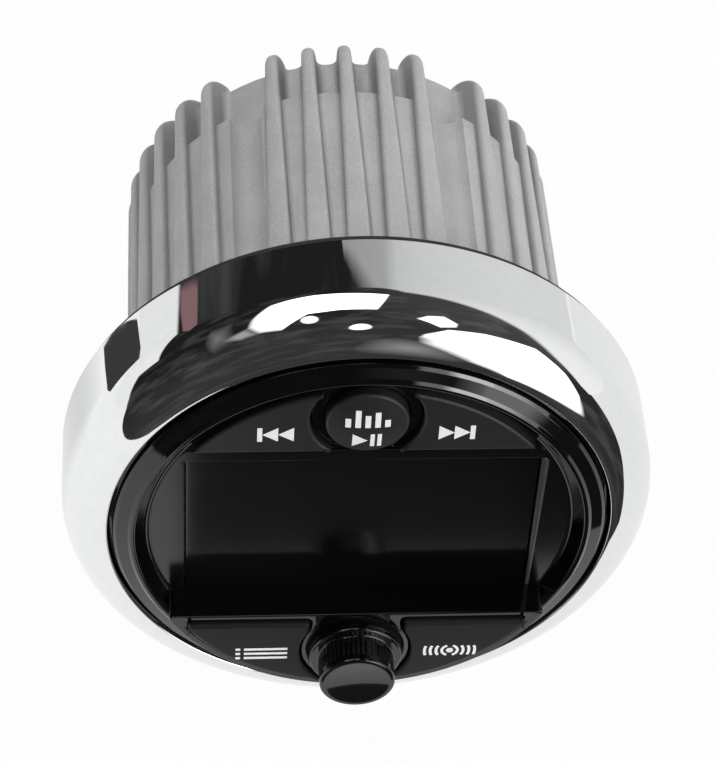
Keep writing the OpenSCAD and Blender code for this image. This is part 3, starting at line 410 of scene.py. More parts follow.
# %% Chrome and gloss black
def make_chrome():
    """Bright plating on moulded plastic: a mirror with a trace of waviness and haze."""
    material, start, place = open_skin("chrome_plate")
    wave = noise(place, 0.05, 1.0)
    haze = noise(place, 0.6, 3.0)
    close_finish(start, base_color=haze.mix(grey(0.80, -0.01), grey(0.88, -0.01)), metallic=1.0,
                 roughness=0.015 + 0.03 * haze.ramp(0.35, 0.8),
                 normal=bumps(start, wave, 0.10, 0.25))
    return material


def make_gloss_black(name, base, haze):
    """Polished black plastic with a film of fine dust in its gloss, and a little haze."""
    material, start, place = open_skin(name)
    dust = noise(place, 3.0, 4.0, 0.7).ramp(0.62, 0.8)
    film = noise(place, 0.09, 2.0)
    close_finish(start, base_color=dust.mix(grey(base, -0.02), grey(base * 2.5, -0.02)), metallic=0.0,
                 roughness=haze + 0.05 * film + 0.15 * dust, coat_weight=0.2, coat_roughness=haze,
                 normal=bumps(start, noise(place, 0.08, 1.0), 0.05, 0.2))
    return material


chrome_plate = make_chrome()
gloss_black = make_gloss_black("gloss_black", 0.003, 0.03)
smoked_window = make_gloss_black("smoked_window", 0.003, 0.12)
hazed_black = make_gloss_black("hazed_black", 0.003, 0.15)
# A grey base on parts of the black face moulding: a painted highlight for the bright strips of the bead and
# lands.
painted_highlight_grey = make_gloss_black("painted_highlight_grey", 0.06, 0.2)
print("finishes:", chrome_plate.name, gloss_black.name, smoked_window.name)


# %% Keys, casting and print
def make_key_satin(name, shine):
    """Satin moulded plastic: a fine even grain that breaks up the shine."""
    material, start, place = open_skin(name)
    grain = noise(place, 5.0, 3.0, 0.6)
    rub = noise(place, 0.25, 3.0)
    close_finish(start, base_color=rub.mix(grey(0.011), grey(0.015)),
                 roughness=0.38 + 0.12 * grain + 0.05 * rub, specular_ior_level=shine,
                 normal=bumps(start, grain, 0.03, 0.5))
    return material


def make_cast_alloy():
    """Blasted cast aluminium: grey, rough, with tiny bright grains, and painted shade beside the ribs."""
    material, start, place = open_skin("cast_alloy")
    x, y, z = [start.node("SeparateXYZ", {0: place}, output=i) for i in range(3)]
    grain = noise(place, 3.2, 5.0, 0.7)
    cloud = noise(place, 0.10, 3.0, 0.6)
    pits = place.node("TexVoronoi", {"Vector": place, "Scale": 2.6}, feature="F1")
    sparkle = noise(place, 5.0, 2.0, 0.5).ramp(0.61, 0.70)
    tone = 0.75 * grain.ramp(0.25, 0.75) + 0.25 * cloud.ramp(0.3, 0.7)
    body = tone.mix(grey(0.44), grey(0.70))
    # Painted shade: from here the base colour darkens along each rib's foot, where the rib's shadow falls.
    turn = x.math("ARCTAN2", x, z)
    radius = (x * x + z * z).math("SQRT", x * x + z * z)
    along = (y - collar_len) / (body_len - collar_len)
    half = 0.5 * (rib_front_t + (rib_rear_t - rib_front_t) * along)
    off = turn.math("PINGPONG", turn, math.radians(pitch / 2)) * radius - half
    folded = turn.math("PINGPONG", turn, math.pi / 2) - math.radians(rib_gap)
    standing = folded.math("ABSOLUTE", folded).ramp(math.radians(pitch * 0.45), math.radians(pitch * 0.5))
    corner = 1 - off.math("ABSOLUTE", off).ramp(0.0, 0.9)
    beside = radius.ramp(valley_r - 1.2, valley_r - 0.2) * (1 - radius.ramp(collar_r - 1.4, collar_r - 0.3))
    corner = corner * standing * beside * along.ramp(0.0, 0.02)
    painted_shade_body = (0.5 * corner).mix(body, grey(0.10))
    close_finish(start, base_color=(sparkle * (1 - corner)).mix(painted_shade_body, grey(0.8)),
                 metallic=0.25 + 0.6 * sparkle, roughness=0.62 - 0.22 * sparkle,
                 normal=bumps(start, 0.7 * grain + 0.3 * pits, 0.16, 0.75))
    return material


def make_white_print():
    """White print with a faint painted glow in its colour: a thin even ink."""
    material, start, place = open_skin("white_print")
    ink = noise(place, 4.0, 2.0)
    close_finish(start, base_color=ink.mix(grey(0.84), grey(0.92)), roughness=0.38 + 0.12 * ink,
                 # The emission is a painted glow: the print is no lamp.
                 emission_color=ink.mix(grey(0.9), grey(1.0)), emission_strength=0.28)
    return material


key_satin = make_key_satin("key_satin", 0.5)
base_key_satin = make_key_satin("base_key_satin", 0.2)
well_satin = make_key_satin("well_satin", 0.05)
cast_alloy = make_cast_alloy()
white_print = make_white_print()
print("finishes:", key_satin.name, well_satin.name, cast_alloy.name, white_print.name)


# %% Inner and rear finishes
def make_grained(name, low, high, metallic, roughness, per_mm, depth):
    """A finish of two near colours with a grain: the plain plastics, rubbers and metals."""
    material, start, place = open_skin(name)
    grain = noise(place, per_mm, 3.0, 0.6)
    cloud = noise(place, per_mm / 12, 2.0)
    tone = (0.5 * grain + 0.5 * cloud).ramp(0.3, 0.7)
    close_finish(start, base_color=tone.mix(low, high), metallic=metallic,
                 roughness=roughness + 0.12 * grain, normal=bumps(start, grain, depth, 0.6))
    return material


def make_board():
    """Circuit board: green mask over copper tracks that run as broken straight lines."""
    material, start, place = open_skin("circuit_board")
    cells = place.node("TexVoronoi", {"Vector": place, "Scale": 0.22}, feature="F1", distance="CHEBYCHEV")
    tracks = cells.math("PINGPONG", cells * 6, 1.0).ramp(0.62, 0.7)
    speckle = noise(place, 2.0, 2.0)
    close_finish(start, base_color=tracks.mix((0.008, 0.05, 0.022, 1), (0.02, 0.11, 0.05, 1)),
                 roughness=0.32 + 0.1 * speckle, normal=bumps(start, tracks, 0.03, 0.5))
    return material


def make_winding():
    """Enamelled copper wire in close turns."""
    material, start, place = open_skin("copper_winding")
    turns = place.node("TexWave", {"Vector": place, "Scale": 0.5, "Distortion": 0.6, "Detail": 1.0}, 1,
                       wave_type="RINGS", rings_direction="SPHERICAL")
    close_finish(start, base_color=turns.mix((0.16, 0.05, 0.015, 1), (0.62, 0.25, 0.08, 1)), metallic=0.8,
                 roughness=0.42 - 0.12 * turns, normal=bumps(start, turns, 0.2, 0.7))
    return material


finishes = {
    "chrome": chrome_plate,
    "gloss_face": gloss_black,
    "smoked_window": smoked_window,
    "key_rubber": key_satin,
    "cast_alloy": cast_alloy,
    "board": make_board(),
    "copper_winding": make_winding(),
}
# Slot, name, darker and lighter tone, metal, roughness, grains per millimetre and their depth in millimetres
for slot_name, *values in (
        ("black_plastic", "black_plastic", grey(0.018), grey(0.03), 0.0, 0.42, 3.0, 0.03),
        ("pale_plastic", "pale_plastic", grey(0.56, 0.06), grey(0.66, 0.05), 0.0, 0.42, 2.0, 0.03),
        ("seal_rubber", "seal_rubber", grey(0.012), grey(0.024), 0.0, 0.62, 2.5, 0.06),
        ("display_glass", "display_glass", grey(0.035, -0.04), grey(0.05, -0.04), 0.0, 0.05, 0.8, 0.004),
        ("steel", "zinc_steel", grey(0.52), grey(0.64), 1.0, 0.26, 3.0, 0.02),
        ("brass", "turned_brass", (0.55, 0.38, 0.13, 1), (0.68, 0.49, 0.19, 1), 1.0, 0.24, 3.0, 0.02),
        ("blue_sleeve", "blue_sleeve", (0.012, 0.02, 0.05, 1), (0.02, 0.032, 0.08, 1), 0.0, 0.3, 1.5, 0.01)):
    finishes[slot_name] = make_grained(*values)
node_slots = {row["node"]: row["material_slot"] for row in frame["record"]["subparts"]}
for name, slot_name in node_slots.items():
    nodes[name].data.materials.clear()
    nodes[name].data.materials.append(finishes[slot_name])
print("finishes:", len(finishes), "slots on", len(node_slots), "nodes")

# %% [markdown]
# ## Tools for turned and cut shapes
#
# Most of the stereo is turned on a lathe or cut from a plate, so two helpers do most of the work. `turned`
# spins a profile of (radius, y) points. `plate` takes front-view outlines of (x, z) points and gives the
# front edge a true round, because an edge that catches light is what makes a moulded part look real.
# Each corner of a profile carries its own radius, and the sharp corners of an outline share one reach.


# %% Outline helpers
def arc(centre, radius, start, end, steps):
    """Points on a circle from one angle to another, in degrees, counted from +x towards +z (or +y)."""
    angles = [math.radians(start + (end - start) * i / steps) for i in range(steps + 1)]
    return [(centre[0] + radius * math.cos(a), centre[1] + radius * math.sin(a)) for a in angles]


def quarter(steps):
    """Angles of a quarter turn in equal steps, with both ends."""
    return [math.pi / 2 * i / steps for i in range(steps + 1)]


def filleted(corners, steps=5):
    """A closed profile whose (a, b, radius) corners are turned into arcs."""
    points = []
    count = len(corners)
    for i, (a, b, radius) in enumerate(corners):
        here = Vector((a, b))
        if not radius:
            points.append((a, b))
            continue
        before = (Vector(corners[i - 1][:2]) - here).normalized()
        after = (Vector(corners[(i + 1) % count][:2]) - here).normalized()
        half = before.angle(after) / 2
        centre = here + (before + after).normalized() * (radius / math.sin(half))
        reach = radius / math.tan(half)
        first = here + before * reach - centre
        last = here + after * reach - centre
        sweep = first.angle_signed(last)
        for k in range(steps + 1):
            turn = -sweep * k / steps
            c, s = math.cos(turn), math.sin(turn)
            points.append((centre.x + first.x * c - first.y * s, centre.y + first.x * s + first.y * c))
    return points


def rounded(points, reach, steps=6, sharp=0.5):
    """A closed outline whose sharp corners are softened over this reach along the outline."""
    vectors = [Vector(p) for p in points]
    vectors = [v for i, v in enumerate(vectors) if (v - vectors[i - 1]).length > 1e-6]
    count = len(vectors)
    turns = [(vectors[i] - vectors[i - 1]).angle(vectors[(i + 1) % count] - vectors[i]) for i in range(count)]
    corners = [i for i in range(count) if turns[i] > sharp]

    def walk(i, direction):
        """The point this reach away along the outline, and the last index passed."""
        left, here = reach, i
        while True:
            ahead = (here + direction) % count
            length = (vectors[ahead] - vectors[here]).length
            if length >= left:
                return vectors[here] + (vectors[ahead] - vectors[here]) * (left / length), here
            left -= length
            here = ahead

    dropped, arcs = set(), {}
    for i in corners:
        first, first_index = walk(i, -1)
        last, last_index = walk(i, 1)
        dropped |= {(first_index + k) % count for k in range((last_index - first_index) % count + 1)}
        arcs[i] = [tuple(first * (1 - t) ** 2 + vectors[i] * 2 * t * (1 - t) + last * t * t)
                   for t in [k / steps for k in range(steps + 1)]]
    result = []
    for i in range(count):
        if i in arcs:
            result.extend(arcs[i])
        elif i not in dropped:
            result.append(tuple(vectors[i]))
    return result


def area_of(points):
    """Signed area of an outline: positive where it runs anticlockwise."""
    return sum(a[0] * b[1] - b[0] * a[1] for a, b in zip(points, points[1:] + points[:1])) / 2


MITRE_LIMIT = 0.4


def inset(points, distance):
    """The outline moved to its left by this distance, corner by corner."""
    moved = []
    count = len(points)
    for i in range(count):
        here = Vector(points[i])
        one = (here - Vector(points[i - 1])).normalized()
        two = (Vector(points[(i + 1) % count]) - here).normalized()
        normal = Vector((-one.y - two.y, one.x + two.x))
        normal.normalize()
        stretch = max(MITRE_LIMIT, normal.dot(Vector((-one.y, one.x))))
        moved.append(tuple(here + normal * (distance / stretch)))
    return moved


print("outline helpers ready")


# %% Pieces from meshes
SHARP_ANGLE = math.radians(38)


def make_piece(name, bm, material):
    """A finished object at the origin from a mesh in millimetres: closed, facing outwards, smooth."""
    bmesh.ops.remove_doubles(bm, verts=bm.verts, dist=1e-4)
    bmesh.ops.recalc_face_normals(bm, faces=bm.faces)
    bmesh.ops.scale(bm, vec=(MM, MM, MM), verts=bm.verts)
    mesh = bpy.data.meshes.new(name)
    bm.to_mesh(mesh)
    bm.free()
    mesh.polygons.foreach_set("use_smooth", [True] * len(mesh.polygons))
    mesh.set_sharp_from_angle(angle=SHARP_ANGLE)
    mesh.materials.append(material)
    piece = bpy.data.objects.new(name, mesh)
    scene.collection.objects.link(piece)
    return piece


def applied(piece):
    """Turns a piece's modifiers into plain mesh and removes them."""
    bpy.context.view_layer.update()
    seen = piece.evaluated_get(bpy.context.evaluated_depsgraph_get())
    mesh = bpy.data.meshes.new_from_object(seen)
    old = piece.data
    piece.modifiers.clear()
    piece.data = mesh
    mesh.name = piece.name
    bpy.data.meshes.remove(old)
    return piece


def even_normals(piece):
    """Lets large flat faces decide the shading beside their rounded edges."""
    weighted = piece.modifiers.new("even_normals", "WEIGHTED_NORMAL")
    weighted.keep_sharp = True
    weighted.weight = 50
    return applied(piece)


def wear(piece, body, slot_name, *replaced):
    """Rides a piece on its body and hides the solids that it stands for; slot_name is not used."""
    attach(piece, body)
    if replaced:
        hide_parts(*replaced)
    print(f"{piece.name}: {len(piece.data.polygons)} faces on {body}")


def put(name, bm, material, body, slot_name, *replaced, even=False):
    """Makes a piece, evens its normals where asked, and wears it."""
    piece = make_piece(name, bm, material)
    wear(even_normals(piece) if even else piece, body, slot_name, *replaced)


print("piece helpers ready")


# %% Turned, cut and lofted meshes
def skin(bm, rings, closed):
    """Quads between rings of vertices; a ring of one vertex is a pole."""
    for one, two in zip(rings, rings[1:] + (rings[:1] if closed else [])):
        count = max(len(one), len(two))
        for i in range(count):
            j = (i + 1) % count
            corners = [one[i % len(one)], one[j % len(one)], two[j % len(two)], two[i % len(two)]]
            unique = list(dict.fromkeys(corners))
            if len(unique) > 2:
                bm.faces.new(unique)


def turned(profile, steps=192, centre=(0.0, 0.0)):
    """A closed (radius, y) profile spun about a line along Y at centre (x, z)."""
    bm = bmesh.new()
    rings = []
    for radius, y in profile:
        if radius < 1e-6:
            rings.append([bm.verts.new((centre[0], y, centre[1]))])
            continue
        angles = [math.tau * i / steps for i in range(steps)]
        rings.append([bm.verts.new((centre[0] + radius * math.sin(a), y, centre[1] + radius * math.cos(a)))
                      for a in angles])
    skin(bm, rings, closed=True)
    return bm


def plate(outlines, y_front, y_back, front_round, steps=5, hole_round=None):
    """A plate cut to front-view outlines, the first one outside and the rest holes, with a round front."""
    bm = bmesh.new()
    front_edges, back_edges = [], []
    for index, outline in enumerate(outlines):
        wanted = 1 if index == 0 else -1
        points = outline if area_of(outline) * wanted > 0 else outline[::-1]
        rings = [[bm.verts.new((x, y_back, z)) for x, z in points]]
        for turn in quarter(steps):
            edge_round = front_round if index == 0 or hole_round is None else hole_round
            edge = inset(points, edge_round * (1 - math.cos(turn)))
            y = y_front + edge_round * (1 - math.sin(turn))
            rings.append([bm.verts.new((x, y, z)) for x, z in edge])
        skin(bm, rings, closed=False)
        for ring, edges in ((rings[0], back_edges), (rings[-1], front_edges)):
            edges.extend(bm.edges.get((ring[i - 1], ring[i])) for i in range(len(ring)))
    for edges in (front_edges, back_edges):
        bmesh.ops.triangle_fill(bm, edges=edges, use_beauty=True)
    return bm


def loft(sections):
    """A closed bar through rings of points."""
    bm = bmesh.new()
    rings = [[bm.verts.new(point) for point in section] for section in sections]
    skin(bm, rings, closed=False)
    bm.faces.new(rings[0])
    bm.faces.new(rings[-1])
    return bm


print("mesh helpers ready")

# %% [markdown]
# ## The chrome ring
#
# The ring is a hollow plated moulding with a fat round front and a lip that turns in to the face. A mirror
# shows every facet, so its profile is spun in many steps and its arcs have many points.

# %% Chrome ring
RING_STEPS = 320
ring_round = 9.2
ring_band = 8.4
ring_wall = 1.8
lip_depth = 4.5
lip_edge = 0.35
lip_r = ring_r - ring_band
bend = (ring_r - ring_round, ring_front_y + ring_round)
lip_angle = math.degrees(math.acos((lip_r + lip_edge - bend[0]) / ring_round))
outer_bend = arc(bend, ring_round, 0, -lip_angle, 40)
inner_lip = lip_r + ring_wall
inner_angle = math.degrees(math.acos((inner_lip - bend[0]) / (ring_round - ring_wall)))
inner_bend = arc(bend, ring_round - ring_wall, -inner_angle, 0, 12)
lip_end = ring_front_y + lip_depth
ring_profile = [(ring_r - lip_edge, ring_back_y), (ring_r, ring_back_y - lip_edge)]
ring_profile += outer_bend
ring_profile += arc((outer_bend[-1][0], outer_bend[-1][1] + lip_edge), lip_edge, -95, -180, 5)
ring_profile += [(lip_r, lip_end - lip_edge), (lip_r + lip_edge, lip_end), (inner_lip, lip_end)]
ring_profile += inner_bend
ring_profile += [(ring_r - ring_wall, ring_back_y)]
put("chrome_ring", turned(ring_profile, RING_STEPS), chrome_plate, "chassis", "chrome", "bezel_ring")

# %% [markdown]
# ## The face
#
# The face is one gloss black moulding, dished inside a raised rim. Its lower part stands forward as a
# platform for two keys and the knob. It is made as shapes that meet as the moulding does: the turned rim,
# the flat floor round the window, a sunk zone for the upper keys, the platform with its rounded edge, and
# the narrow bead and lands that catch the light and carry a painted highlight in their grey colour.

# %% Face sizes
lens_sink = 0.8
floor_y = lens_low.y - lens_sink
face_wall = 2.0
floor_back_y = floor_y + face_wall
rim_h = 2.7
crest_y = floor_y - rim_h
skirt_r = lip_r - 0.25
crest_out = skirt_r - 1.6
crest_in = crest_out - 3.05
floor_r = crest_in - 2.15
platform_y = face_low.y
platform_r = floor_r + 0.7
key_zone_sink = 0.4
key_gap = 0.3
dome_front_y = span("play_button")[0].y
skip_front_y = span("skip_forward_button")[0].y
base_front_y = span("band_button")[0].y
knob_low, knob_high = span("volume_knob")
knob_z = (knob_low.z + knob_high.z) / 2
play_r = 7.45
play_z = floor_r - 1.25 - play_r
play_ring_r = 10.1
key_zone_z = play_z - 9.1
skip_r = floor_r - 1.2
skip_z = key_zone_z + 0.7
platform_z = knob_z + 10.3
base_key_r = platform_r - 2.0
base_key_z = platform_z - 1.8
base_key_round = 10.6
window_hw = (lens_high.x - lens_low.x) / 2 - 1.2
window_top = key_zone_z - 2.8
base_key_side = window_hw - 0.6
base_key_inner = 8.8
print(f"face: floor at {floor_y:.2f}, platform at {platform_y:.2f}, window {2 * window_hw:.1f} wide")


# %% Key outlines
KEY_CORNER = 0.9
KEY_STEPS = 40


def angle_on(radius, height):
    """Angle of the point on a circle at this height above its centre, on the right."""
    return math.degrees(math.asin(height / radius))


def crossing_z(rim, ring, ring_z):
    """Height at which a circle about the axis crosses one about (0, ring_z)."""
    return (rim ** 2 - ring ** 2 + ring_z ** 2) / (2 * ring_z)


def skip_outline(side, grow):
    """Outline of a skip key: the rim's arc, a level foot and the hollow round the play key."""
    rim, foot, ring = skip_r + grow, skip_z - grow, play_ring_r - grow
    crossing = crossing_z(rim, ring, play_z)
    outer = arc((0, 0), rim, angle_on(rim, foot), angle_on(rim, crossing), KEY_STEPS)
    hollow = arc((0, play_z), ring, angle_on(ring, crossing - play_z), angle_on(ring, foot - play_z),
                 KEY_STEPS)
    return [(side * x, z) for x, z in outer + hollow]


def base_outline(side, grow):
    """Outline of a platform key: the rim's arc, a level top, upright sides, the hollow round the knob."""
    rim, top, ring = base_key_r + grow, base_key_z + grow, base_key_round - grow
    inner, outer_x = base_key_inner - grow, base_key_side + grow
    low_x = math.sqrt(max(0.0, rim ** 2 - outer_x ** 2))
    hollow_end = knob_z + math.sqrt(max(0.0, ring ** 2 - inner ** 2))
    crossing = crossing_z(rim, ring, knob_z)
    bottom = arc((0, 0), rim, angle_on(rim, crossing), angle_on(rim, -low_x), KEY_STEPS)
    sides = [(outer_x, top), (inner, top)]
    hollow = arc((0, knob_z), ring, angle_on(ring, hollow_end - knob_z), angle_on(ring, crossing - knob_z),
                 KEY_STEPS)
    return [(side * x, z) for x, z in bottom + sides + hollow]


def circle(centre, radius, steps=96):
    return arc(centre, radius, 0, 360 * (1 - 1 / steps), steps - 1)


print("skip key outline:", len(skip_outline(1, 0)), "points")

# %% Face rim
rim_foot = floor_r - 1.5
rim_sink_y = floor_y + 0.05
skirt_in = skirt_r - 2.0
# Corners of the rim's section (radius, y, round): the slope, the crest, two small bevels and the skirt
rim_profile = filleted([
    (rim_foot, rim_sink_y, 0), (floor_r, rim_sink_y, 1.2), (crest_in, crest_y, 0.6),
    (crest_in + 0.7, crest_y, 0.12), (crest_in + 1.25, crest_y + 0.46, 0.3),
    (skirt_r - 1.35, crest_y + 1.1, 0.3), (skirt_r - 0.75, crest_y + 1.6, 0.12),
    (skirt_r - 0.6, ring_front_y + 1.2, 0.1), (skirt_r, ring_front_y + 1.5, 0.2),
    (skirt_r, face_high.y, 0.2), (skirt_in, face_high.y, 0),
    (skirt_in, crest_y + face_wall, 0), (rim_foot, floor_back_y, 0)], steps=8)
put("face_rim", turned(rim_profile, 256), gloss_black, "chassis", "gloss_face", "face_plate", even=True)


# %% Face floor, with the sunk key zone
def window_outline(gap, corner):
    """The window's outline, smaller by a gap at its top and sides; its foot runs under the platform."""
    side, top, foot = window_hw - gap, window_top - gap, platform_z - 2
    return rounded([(-side, foot), (side, foot), (side, top), (-side, top)], corner)


floor_limit = floor_r - 0.6
zone_angle = angle_on(floor_limit, key_zone_z)
lower_arc = arc((0, 0), floor_limit, 180 - zone_angle, 360 + zone_angle, 160)
zone_arc = arc((0, 0), floor_limit, zone_angle, 180 - zone_angle, 96)
floor_plate = plate([lower_arc, window_outline(0.0, 0.7)], floor_y, floor_back_y, 0.15)
put("face_floor", floor_plate, hazed_black, "chassis", "gloss_face", even=True)
zone_holes = [circle((0, play_z), play_r + key_gap),
              rounded(skip_outline(-1, key_gap), KEY_CORNER), rounded(skip_outline(1, key_gap), KEY_CORNER)]
zone_plate = plate([zone_arc, *zone_holes], floor_y + key_zone_sink, floor_back_y, 0.2)
put("face_key_zone", zone_plate, gloss_black, "chassis", "gloss_face", even=True)


# %% Bead beside the window
BEAD_STEPS = 10
bead_root_y = floor_y + 0.4


def bead_section(width, height, z):
    """Half-round section of the bead at one height, on the window's right edge."""
    shares = [i / BEAD_STEPS for i in range(BEAD_STEPS + 1)]
    rise = [(window_hw + width * t, floor_y + 0.02 - height * math.sin(math.pi * t), z) for t in shares]
    return [(window_hw, bead_root_y, z)] + rise + [(window_hw + width, bead_root_y, z)]


bead = loft([bead_section(0.7, 0.16, platform_z - 1), bead_section(1.4, 0.24, window_top - 0.8),
             bead_section(0.8, 0.10, window_top - 0.1)])
# The bead's grey colour is a painted highlight.
put("window_bead", bead, painted_highlight_grey, "chassis", "gloss_face")

# %% Platform
knob_well_r = 9.2
well_y = platform_y + 1.0
well_back_y = well_y + 1.5
shaft_hole_r = 4.1
platform_angle = angle_on(platform_r, platform_z)
platform_arc = arc((0, 0), platform_r, 180 - platform_angle, 360 + platform_angle, 160)
platform_holes = [rounded(base_outline(side, key_gap), KEY_CORNER) for side in (-1, 1)]
platform_holes.append(circle((0, knob_z), knob_well_r))
platform = plate([rounded(platform_arc, 1.6), *platform_holes], platform_y, floor_back_y, 0.2, steps=8,
                 hole_round=0.5)
put("face_platform", platform, gloss_black, "chassis", "gloss_face", even=True)
well_outlines = [circle((0, knob_z), knob_well_r + 0.2), circle((0, knob_z), shaft_hole_r, 48)]
well_floor = plate(well_outlines, well_y, well_back_y, 0.05, steps=1)
put("knob_well_floor", well_floor, well_satin, "chassis", "gloss_face")


# %% Lands beside the knob's well
land_from, land_to = -36, 32
land_gap = 0.15
land_h = 0.12


def well_land(side):
    """Outline of the land between the knob's well and a platform key."""
    outer = arc((0, knob_z), base_key_round - key_gap - land_gap, land_from, land_to, 24)
    inner = arc((0, knob_z), knob_well_r + land_gap, land_to, land_from, 24)
    return [(side * x, z) for x, z in outer + inner]


for side, name in ((-1, "left"), (1, "right")):
    land = plate([well_land(side)], platform_y - land_h, platform_y + 0.3, 0.1)
    # The lands' grey colour is a painted highlight.
    put("well_land_" + name, land, painted_highlight_grey, "chassis", "gloss_face")

# %% Display window
lens_plate = plate([window_outline(0.25, 0.6)], lens_low.y, lens_high.y, 0.15)
put("window_lens", lens_plate, smoked_window, "chassis", "smoked_window", "display_lens", even=True)

# %% [markdown]
# ## Keys
#
# The keys are satin plastic with soft rounded edges, and each one travels with its own switch. The play key
# is a shallow dome, so it is turned; the others are plates cut to their outlines.

# %% Skip keys and platform keys
KEY_ROUND = 0.7
key_back_y = floor_back_y + 1.25
base_key_back_y = platform_y + 3.25
key_rows = [("skip_back", skip_outline(-1, 0), skip_front_y, key_back_y, key_satin),
            ("skip_forward", skip_outline(1, 0), skip_front_y, key_back_y, key_satin),
            ("source", base_outline(-1, 0), base_front_y, base_key_back_y, base_key_satin),
            ("band", base_outline(1, 0), base_front_y, base_key_back_y, base_key_satin)]
for name, outline, front_y, back_y, finish in key_rows:
    cap = plate([rounded(outline, KEY_CORNER)], front_y, back_y, KEY_ROUND, steps=6)
    put(name + "_cap", cap, finish, name + "_key", "key_rubber", name + "_button", even=True)

# %% Play key
play_dome = 0.9
dome_r = (play_r ** 2 + play_dome ** 2) / (2 * play_dome)
dome_angle = math.asin((play_r - KEY_ROUND) / dome_r)
dome_edge_from = -76
play_profile = [(0, dome_front_y)]
play_profile += [(dome_r * math.sin(a), dome_front_y + dome_r * (1 - math.cos(a)))
                 for a in [dome_angle * i / 10 for i in range(1, 11)]]
dome_edge = play_profile[-1]
play_profile += arc((dome_edge[0], dome_edge[1] + KEY_ROUND), KEY_ROUND, dome_edge_from, 0, 6)
play_profile += [(play_r, key_back_y), (0, key_back_y)]
put("play_cap", turned(play_profile, 128, (0, play_z)), key_satin, "play_key", "key_rubber", "play_button")

# %% [markdown]
# ## Printed signs
#
# The keys carry small white signs. The play and skip signs are the common ones. Where the real keys carry
# words, plain marks of like size take their place: five level bars, a list and a set of waves. Each is a
# thin film of ink a few hundredths of a millimetre proud of its key, so it moves with the key.

# %% Ink shapes
INK = 0.03
INK_DEPTH = 0.12
INK_ROUND = 0.01
INK_GRID = 0.5


def sign(name, body, shapes, centre, surface):
    """White ink in shapes about a centre; surface is its y, or gives y for a point of the front view."""
    bm = bmesh.new()
    for shape in shapes:
        points = [(centre[0] + u, centre[1] + v) for u, v in shape]
        points = points if area_of(points) > 0 else points[::-1]
        part = plate([points], -INK, INK_DEPTH, INK_ROUND, steps=1)
        long_edges = [edge for edge in part.edges if edge.calc_length() > INK_GRID]
        bmesh.ops.subdivide_edges(part, edges=long_edges, cuts=2)
        bmesh.ops.triangulate(part, faces=part.faces)
        for vert in part.verts:
            vert.co.y += surface(vert.co.x, vert.co.z) if callable(surface) else surface
        mesh = bpy.data.meshes.new("part")
        part.to_mesh(mesh)
        part.free()
        bm.from_mesh(mesh)
        bpy.data.meshes.remove(mesh)
    put(name, bm, white_print, body, "key_rubber")


def bar_shape(u, v, width, height):
    return [(u, v), (u + width, v), (u + width, v + height), (u, v + height)]


def triangle_shape(u, v, width, height):
    """A triangle that points to the right from (u, v), or to the left where the width is negative."""
    return [(u, v - height / 2), (u + width, v), (u, v + height / 2)]


def wave_shape(radius, half_angle, width, turn):
    """A piece of a ring that opens to the right, or to the left where turn is 180."""
    outer = arc((0, 0), radius + width / 2, turn - half_angle, turn + half_angle, 12)
    inner = arc((0, 0), radius - width / 2, turn + half_angle, turn - half_angle, 12)
    return outer + inner


def dome_y(x, z):
    return dome_front_y + dome_r - math.sqrt(dome_r ** 2 - x ** 2 - (z - play_z) ** 2)


print("ink stands", INK, "mm proud")

# %% Signs on the keys
skip_sign_x, skip_sign_z = 16.1, 27.1
sign_h = 3.6
for side, body in ((-1, "skip_back_key"), (1, "skip_forward_key")):
    shapes = [[(side * u, v) for u, v in shape] for shape in
              (triangle_shape(-3.25, 0, 2.8, sign_h), triangle_shape(-0.45, 0, 2.8, sign_h),
               bar_shape(2.35, -sign_h / 2, 0.9, sign_h))]
    sign(body.replace("_key", "_sign"), body, shapes, (side * skip_sign_x, skip_sign_z), skip_front_y)
play_sign = [triangle_shape(-2.6, 0, 2.7, sign_h), bar_shape(0.6, -sign_h / 2, 0.75, sign_h),
             bar_shape(1.85, -sign_h / 2, 0.75, sign_h)]
sign("play_sign", "play_key", play_sign, (0.0, play_z - 3.8), dome_y)
level_heights = [2.2, 4.2, 3.0, 3.7, 1.8]
levels = [bar_shape(-4.0 + 1.75 * i, -2.1, 1.0, height) for i, height in enumerate(level_heights)]
sign("play_levels", "play_key", levels, (0.0, play_z + 1.9), dome_y)
base_sign_x, base_sign_z = 18.0, -28.3
rows = [1.0, -0.32, -1.64]
row_h = 0.64
marks = [bar_shape(u, v, width, row_h) for u, width in ((-4.7, 0.9), (-3.1, 8.2)) for v in rows]
sign("source_sign", "source_key", marks, (-base_sign_x, base_sign_z), base_front_y)
wave_h = 1.4
wave_w = 0.55
waves = [circle((0, 0), 0.7, 20)]
for radius in (1.5, 2.6, 3.7, 4.8):
    half_angle = angle_on(radius, wave_h)
    waves += [wave_shape(radius, half_angle, wave_w, turn) for turn in (0, 180)]
sign("band_sign", "band_key", waves, (base_sign_x, base_sign_z), base_front_y)

# %% [markdown]
# ## Things that repeat round the axis
#
# Ribs, knob ridges and screws all stand in a ring. One Geometry Nodes tree turns a single copy round the Y
# axis: it spreads a number of turns, can swing every second one the other way, and can leave out the places
# near a given angle. The result is turned into a plain mesh before it joins the stereo.


